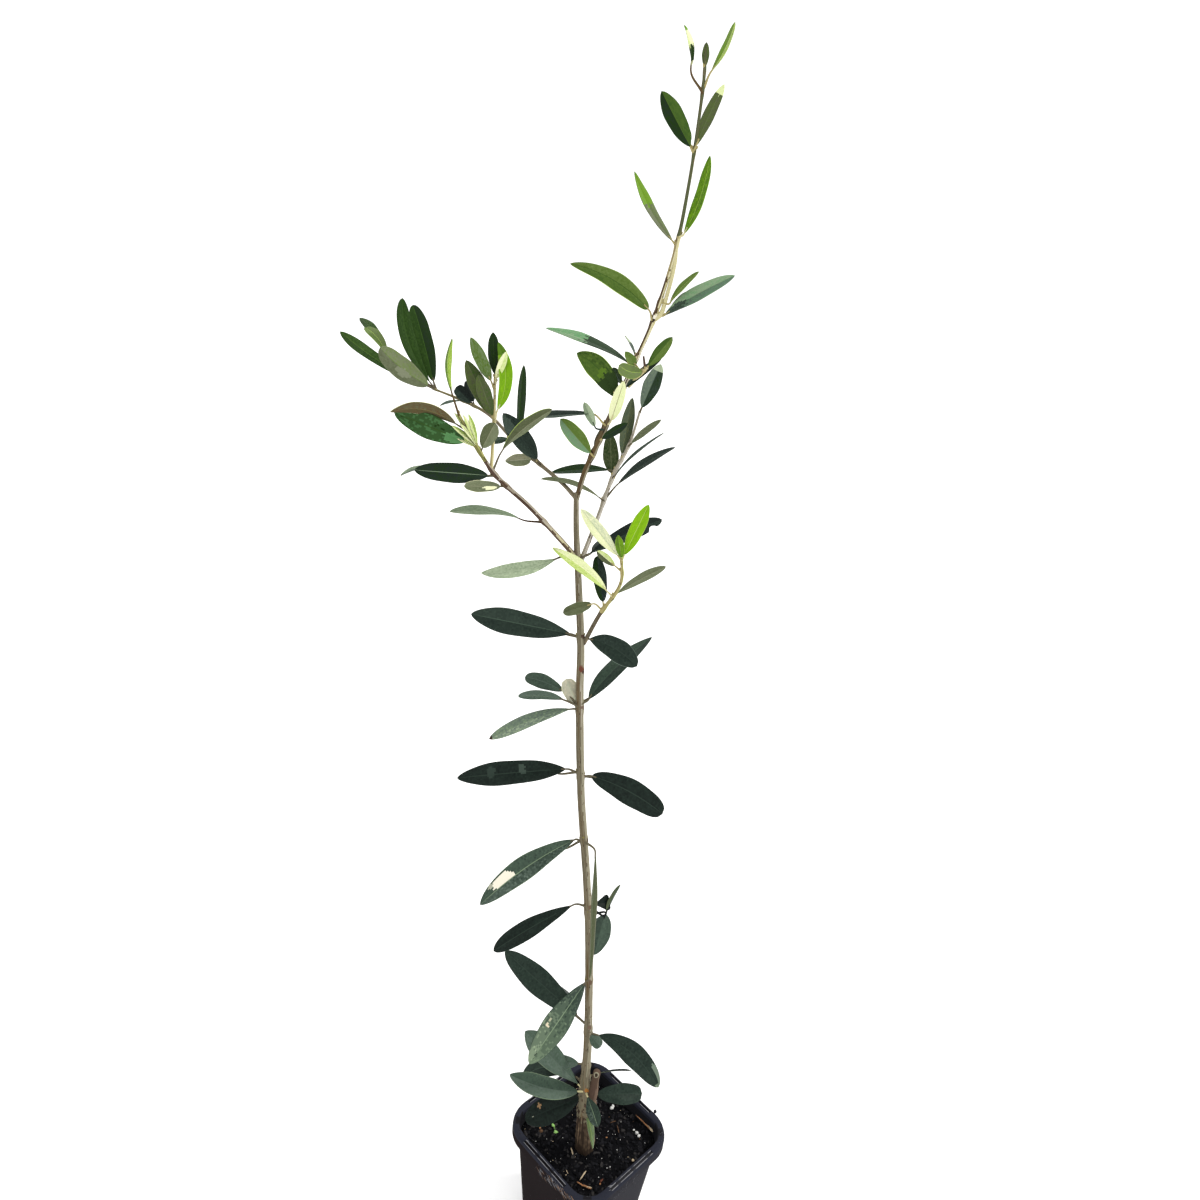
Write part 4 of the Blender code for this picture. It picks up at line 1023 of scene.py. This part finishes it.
def make_wear(pot):
    """The moulded lips of the slots with a painted highlight along them, painted sheen and glints on the rim's edges,
    and the dust and scratches of a used pot.
    """
    rng = random.Random(SEED + 9)
    bpy.context.view_layer.update()
    tree = BVHTree.FromObject(pot, bpy.context.evaluated_depsgraph_get())
    piece = Piece("pot_wear_and_glints")
    middle = RIM_HALF - SKIRT_WALL - SLOT_WIDE / 2 - 0.25
    for turn in range(4):
        c, s = math.cos(turn * math.pi / 2), math.sin(turn * math.pi / 2)
        for side in (-1, 1):
            line = []
            for far in np.linspace(-SLOT_LONG / 2 + 0.5, SLOT_LONG / 2 - 0.5, 15):
                x, y = far, middle + side * (SLOT_WIDE / 2 + 0.12)
                line.append(TURN.T @ np.array([x * c - y * s, x * s + y * c, POT_HEIGHT + 0.02]))
            line = np.array(line)
            thick = np.array([0.17 + 0.09 * rng.random() for _ in line])
            # pale grey with a few darker grey: a painted highlight along each lip
            tube(piece, line, thick, 6, lambda i, k: "4" if (i * 7 + turn) % 5 else "2")

    def hit(x, y):
        ray = TURN @ sight(x, y)
        place, normal, _, _ = tree.ray_cast(Vector(TURN @ CAM_AT * MM), Vector(ray), 3.0)
        if place is None:
            return None, None
        return TURN.T @ np.array(place) / MM, TURN.T @ np.array(normal)

    def fleck(x, y, long, wide, angle, code):
        """A thin fleck on the pot, for dust and scratches and for painted glints, sizes in the picture."""
        place, normal = hit(x, y)
        if place is None:
            return
        scale = FOCAL / ((place - CAM_AT) @ CAM_FORWARD)
        c, s = math.cos(math.radians(angle)), math.sin(math.radians(angle))
        way = c * CAM_RIGHT - s * CAM_UP
        way = unit(way - normal * (way @ normal))
        beside = np.cross(normal, way)
        count = 9
        ring = []
        for k in range(count):
            a = 2 * math.pi * k / count
            rough = 0.6 + 0.6 * rng.random()
            ring.append(place + normal * 0.04 + (way * math.cos(a) * long / 2 + beside * math.sin(a) * wide / 2) * rough / scale)
        points = np.vstack([[place + normal * 0.12], ring, [place - normal * 0.1]])
        faces = [(0, 1 + k, 1 + (k + 1) % count) for k in range(count)] + [(count + 1, 1 + (k + 1) % count, 1 + k) for k in range(count)]
        piece.add(points, faces, code)

    # worn lower edge of the skirt on the left, smudges on the right, scratches on the rim; the pale grey flecks among
    # them, along the rim's edges, are painted sheen and highlight
    for a, b, number, long, wide, tints in [
        ((538, 1170), (571, 1200), 60, 8.0, 1.1, "yz4y"), ((534, 1163), (548, 1178), 12, 2.6, 0.8, "xz"), ((545, 1166), (556, 1178), 8, 2.4, 0.6, "zx"),
        ((650, 1155), (606, 1192), 22, 3.0, 0.7, "z24"), ((655, 1160), (618, 1192), 16, 3.6, 0.9, "xz2"), ((640, 1176), (612, 1199), 12, 3.2, 1.1, "z2x"),
        ((516, 1128), (524, 1148), 8, 2.2, 0.6, "2x"), ((662, 1128), (658, 1150), 8, 2.4, 0.6, "2z"), ((562, 1184), (590, 1197), 9, 2.6, 0.6, "2z"),
    ]:
        angle = math.degrees(math.atan2(b[1] - a[1], b[0] - a[0]))
        for _ in range(number):
            t = rng.random()
            x = a[0] + (b[0] - a[0]) * t + rng.gauss(0, 1.1)
            y = a[1] + (b[1] - a[1]) * t + rng.gauss(0, 1.1)
            fleck(x, y, long * rng.uniform(0.4, 1.2), wide * rng.uniform(0.5, 1.2), angle + rng.gauss(0, 9), rng.choice(tints))
    # single flecks: the pale grey "4" ones are painted highlights on the rim's edges, the others scratches
    for x, y, long, wide, angle, code in [(527.5, 1141, 3.6, 2.0, 60, "4"), (610.5, 1186, 7, 1.5, -42, "4"), (651, 1154.5, 3, 1.6, -40, "4"), (565, 1193, 5, 0.9, 45, "y"),
                                          (558, 1187, 4, 0.8, 45, "s"), (541, 1173, 4, 0.9, 45, "y"), (634, 1179, 4, 1.4, -45, "z"), (616, 1197, 5, 2.0, -60, "z")]:
        fleck(x, y, long, wide, angle, code)
    for _ in range(70):
        x, y = rng.uniform(517, 665), rng.uniform(1150, 1199)
        fleck(x, y, rng.uniform(0.4, 1.2), rng.uniform(0.3, 0.7), rng.uniform(0, 180), rng.choice("zx2"))
    # the same on the two far sides of the pot
    for _ in range(160):
        turn = rng.choice((1, 2, 2, 3, 3, 0)) * math.pi / 2
        c, s = math.cos(turn), math.sin(turn)
        z = rng.uniform(4, 98)
        half = (RIM_HALF if z > POT_HEIGHT - RIM_DEEP else wall_half(z)) + 4
        x = rng.uniform(-28, 28)
        start = Vector((half * c - x * s, half * s + x * c, z)) * MM
        place, normal, _, _ = tree.ray_cast(start, Vector((-c, -s, 0)), 0.02)
        if place is None:
            continue
        place, normal = TURN.T @ np.array(place) / MM, TURN.T @ np.array(normal)
        way = unit(np.cross(normal, [rng.gauss(0, 1), rng.gauss(0, 1), rng.gauss(0, 1)]))
        beside = np.cross(normal, way)
        long, wide = rng.uniform(0.3, 2.6), rng.uniform(0.15, 0.5)
        ring = [place + normal * 0.04 + (way * math.cos(a) * long / 2 + beside * math.sin(a) * wide / 2) * rng.uniform(0.6, 1.2) for a in np.linspace(0, 2 * math.pi, 9)[:-1]]
        points = np.vstack([[place + normal * 0.12], ring, [place - normal * 0.1]])
        piece.add(points, [(0, 1 + k, 1 + (k + 1) % 8) for k in range(8)] + [(9, 1 + (k + 1) % 8, 1 + k) for k in range(8)], rng.choice("zx2x"))
    # the nub of the mould on the rim
    rock(piece, on_level(655, 1111.5, POT_HEIGHT + 0.3), 1.35, "w", rng, squash=0.9)
    return piece.build()


# -------------------------------------------------------------------- soil


def rock(piece, centre, size, code, rng, squash=0.7, long=1.0):
    """An irregular crumb."""
    bm = bmesh.new()
    bmesh.ops.create_icosphere(bm, subdivisions=1, radius=1.0)
    spin = Matrix.Rotation(rng.uniform(0, 6.28), 3, "Z") @ Matrix.Rotation(rng.uniform(-0.5, 0.5), 3, "X")
    seed = Vector((rng.random() * 50, rng.random() * 50, 0))
    points = []
    for vert in bm.verts:
        p = vert.co * (1 + 0.5 * noise.noise(vert.co * 1.6 + seed))
        p = Vector((p.x * long, p.y, p.z * squash)) * size
        points.append(np.array(spin @ p) + centre)
    faces = [tuple(v.index for v in face.verts) for face in bm.faces]
    bm.free()
    piece.add(points, faces, code)


def make_soil():
    rng = random.Random(SEED + 5)
    half = wall_half(SOIL_TOP, WALL) - 0.15
    radius = WALL_RADIUS - WALL
    bed = Piece("soil_bed")
    foot = TURN @ np.array([-2.2, -8.0, 0.0])

    def top_at(px, py):
        mound = 1.8 * math.exp(-(((px - foot[0]) ** 2 + (py - foot[1]) ** 2) / 150))
        return SOIL_TOP + mound + 1.1 * noise.noise(Vector((px * 0.09, py * 0.09, 2.0))) + 0.7 * noise.noise(Vector((px * 0.3, py * 0.3, 5.0)))

    points = []
    ring = square_ring(half, radius, corner=12, straight=12)
    rings = [0.999, 0.96, 0.9, 0.82, 0.72, 0.62, 0.52, 0.42, 0.32, 0.22, 0.12]
    for r, share in enumerate(rings):
        for k, (x, y) in enumerate(ring):
            px, py = x * share, y * share
            points.append((px, py, top_at(px, py) if share < 0.99 else SOIL_TOP - 0.5))
    n = len(ring)
    faces = []
    for r in range(len(rings) - 1):
        for k in range(n):
            m = (k + 1) % n
            faces.append((r * n + k, r * n + m, (r + 1) * n + m, (r + 1) * n + k))
    faces.append(tuple((len(rings) - 1) * n + k for k in range(n)))
    base = len(points)
    points += [(x, y, 3.0) for x, y in square_ring(wall_half(3, WALL) - 0.4, radius, corner=12, straight=12)]
    for k in range(n):
        m = (k + 1) % n
        faces.append((base + k, base + m, m, k))
    faces.append(tuple(base + k for k in range(n - 1, -1, -1)))
    # the pot's own frame isn't turned with the tree
    back = np.array(points) @ TURN
    bed.add(back, faces, ["o"] * len(faces))

    crumbs = Piece("soil_crumbs")
    placed = 0
    while placed < 2600:
        x, y = rng.uniform(-half, half), rng.uniform(-half, half)
        over_x, over_y = abs(x) - (half - radius), abs(y) - (half - radius)
        size = 0.35 + 1.1 * rng.random() ** 3
        if over_x > 0 and over_y > 0 and math.hypot(over_x, over_y) > radius - size:
            continue
        if max(abs(x), abs(y)) > half - size:
            continue
        if math.hypot(x - foot[0], y - foot[1]) < 5.5:
            continue
        roll = rng.random()
        code = "o" if roll < 0.5 else "p" if roll < 0.86 else "q" if roll < 0.985 else "r" if roll < 0.996 else "s"
        if code in "rs":
            size *= 0.6
        spot = np.array([x, y, top_at(x, y) + size * 0.15])
        rock(crumbs, TURN.T @ spot, size, code, rng, long=1.0 + rng.random())
        placed += 1

    bits = Piece("soil_bits")
    # white grit: scattered small grains, and the lumps that show
    for _ in range(70):
        x, y = rng.uniform(-half + 3, half - 3), rng.uniform(-half + 3, half - 3)
        if math.hypot(x - foot[0], y - foot[1]) < 7 or math.hypot(max(0, abs(x) - half + radius), max(0, abs(y) - half + radius)) > radius - 2:
            continue
        size = rng.uniform(0.15, 0.38)
        rock(bits, TURN.T @ np.array([x, y, top_at(x, y) + 0.7]), size, rng.choice("uuut"), rng)
    for px, py, size, code in [(612, 1108, 1.6, "u"), (613, 1106, 1.1, "u"), (637, 1133, 1.5, "u"), (634, 1130, 0.9, "u"), (639, 1136, 1.3, "u"), (633, 1160, 1.3, "t"),
                               (601, 1181, 0.9, "g"), (541, 1131, 1.5, "r"), (540, 1128, 0.8, "s"), (610, 1167, 0.5, "u"), (607, 1168, 0.4, "u"), (600, 1184, 0.7, "s"),
                               (573, 1107, 0.9, "r"), (574, 1103, 0.7, "s"), (566, 1175, 0.5, "t"), (645, 1143, 0.5, "u"), (628, 1157, 0.4, "t"), (617, 1150, 0.4, "u")]:
        rock(bits, on_level(px, py, SOIL_TOP + 0.8), size, code, rng, squash=0.8)
    # chips and straws: foot, end, thickness
    for a, b, thick, code, high_a, high_b in [
        ((634, 1113), (652, 1131), 0.45, "s", 90.2, 92.2), ((646, 1124), (653, 1132), 0.75, "t", 90.6, 92.4), ((571, 1148), (573, 1155), 0.5, "t", 90.0, 90.6),
        ((577, 1182), (583, 1186), 0.5, "s", 90.0, 90.6), ((582, 1185), (591, 1189), 0.6, "s", 90.2, 90.8), ((580, 1180), (586, 1171), 0.5, "t", 90.0, 90.8),
        ((586, 1187), (592, 1188), 0.4, "t", 90.8, 91.0), ((600, 1183), (603, 1179), 0.5, "g", 90.0, 90.8), ((617, 1125), (619, 1133), 0.3, "r", 90.0, 90.5),
        ((610, 1123), (616, 1121), 0.3, "r", 90.0, 90.5), ((536, 1110), (543, 1104), 0.5, "s", 90.2, 90.6), ((568, 1174), (566, 1170), 0.25, "t", 90.0, 90.4)]:
        one, two = on_level(*a, high_a), on_level(*b, high_b)
        line = np.array([one + (two - one) * s + np.array([0, 0, 0.25 * math.sin(3 * s)]) for s in np.linspace(0, 1, 5)])
        tube(bits, line, np.array([0.5, 1.0, 0.9, 1.1, 0.5]) * thick, 6, code)
    # a seedling with two seed leaves
    for px, py, size in [(553.5, 1125.5, 1.5), (556, 1132, 1.35)]:
        centre = on_level(px, py, SOIL_TOP + 4.0)
        rock(bits, centre, size, "v", rng, squash=0.3, long=1.25)
        tube(bits, np.array([centre, (centre + on_level(555, 1130, SOIL_TOP + 2)) / 2, on_level(555.5, 1131, SOIL_TOP)]), np.array([0.3, 0.3, 0.3]), 6, "v")
    return bed.build(), crumbs.build(smooth=False), bits.build()


# ------------------------------------------------------------------- stage


def make_stage():
    world = bpy.data.worlds.new("studio")
    world.use_nodes = True
    background = world.node_tree.nodes["Background"]
    background.inputs["Color"].default_value = (1.0, 1.0, 1.0, 1)
    background.inputs["Strength"].default_value = 1.35
    bpy.context.scene.world = world
    bpy.ops.mesh.primitive_plane_add(size=14, location=(0, 0, 0))
    floor = bpy.context.object
    floor.name = "floor"
    made = bpy.data.materials.new("floor")
    made.use_nodes = True
    shader = made.node_tree.nodes["Principled BSDF"]
    shader.inputs["Base Color"].default_value = (0.95, 0.95, 0.95, 1)
    shader.inputs["Roughness"].default_value = 0.9
    shader.inputs["Specular IOR Level"].default_value = 0.0
    floor.data.materials.append(made)
    sun = bpy.data.lights.new("sun", "SUN")
    sun.energy = 1.7
    sun.angle = math.radians(7)
    sun.color = (1.0, 0.97, 0.92)
    lamp = bpy.data.objects.new("sun", sun)
    bpy.context.scene.collection.objects.link(lamp)
    way = Vector(TURN @ np.array([0.85, 0.22, 0.95]))
    lamp.rotation_euler = way.to_track_quat("Z", "Y").to_euler()
    scene = bpy.context.scene
    scene.view_settings.view_transform = "Standard"
    scene.view_settings.look = "None"
    scene.view_settings.exposure = 0.0
    scene.view_settings.gamma = 1.0


def main():
    make_camera()
    make_stage()
    leaves, stalks = make_leaves()
    bark = make_bark()
    pot = make_pot()
    wear_and_glints = make_wear(pot)
    bed, crumbs, bits = make_soil()
    nodes = list(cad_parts)
    masses = {
        "leaves_low": [n for n in nodes if n in ("foliage_foot", "foliage_low", "foliage_hanging", "foliage_third", "foliage_fourth", "foliage_fifth", "foliage_sixth", "foliage_seventh", "foliage_eighth")],
        "leaves_top": [n for n in nodes if n.startswith("foliage_top") or n == "foliage_tip"],
    }
    masses["leaves_boughs"] = [n for n in nodes if n.startswith("foliage") and n not in masses["leaves_low"] + masses["leaves_top"]]
    for name, obj in leaves.items():
        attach(obj, "root")
        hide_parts(*masses[name])
    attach(stalks, "root")
    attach(bark, "root")
    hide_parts(*LIMBS)
    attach(pot, "root")
    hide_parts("pot")
    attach(wear_and_glints, "root")
    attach(bed, "root")
    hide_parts("soil")
    for obj in (bed, crumbs, bits):
        if obj is not bed:
            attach(obj, "root")


main()
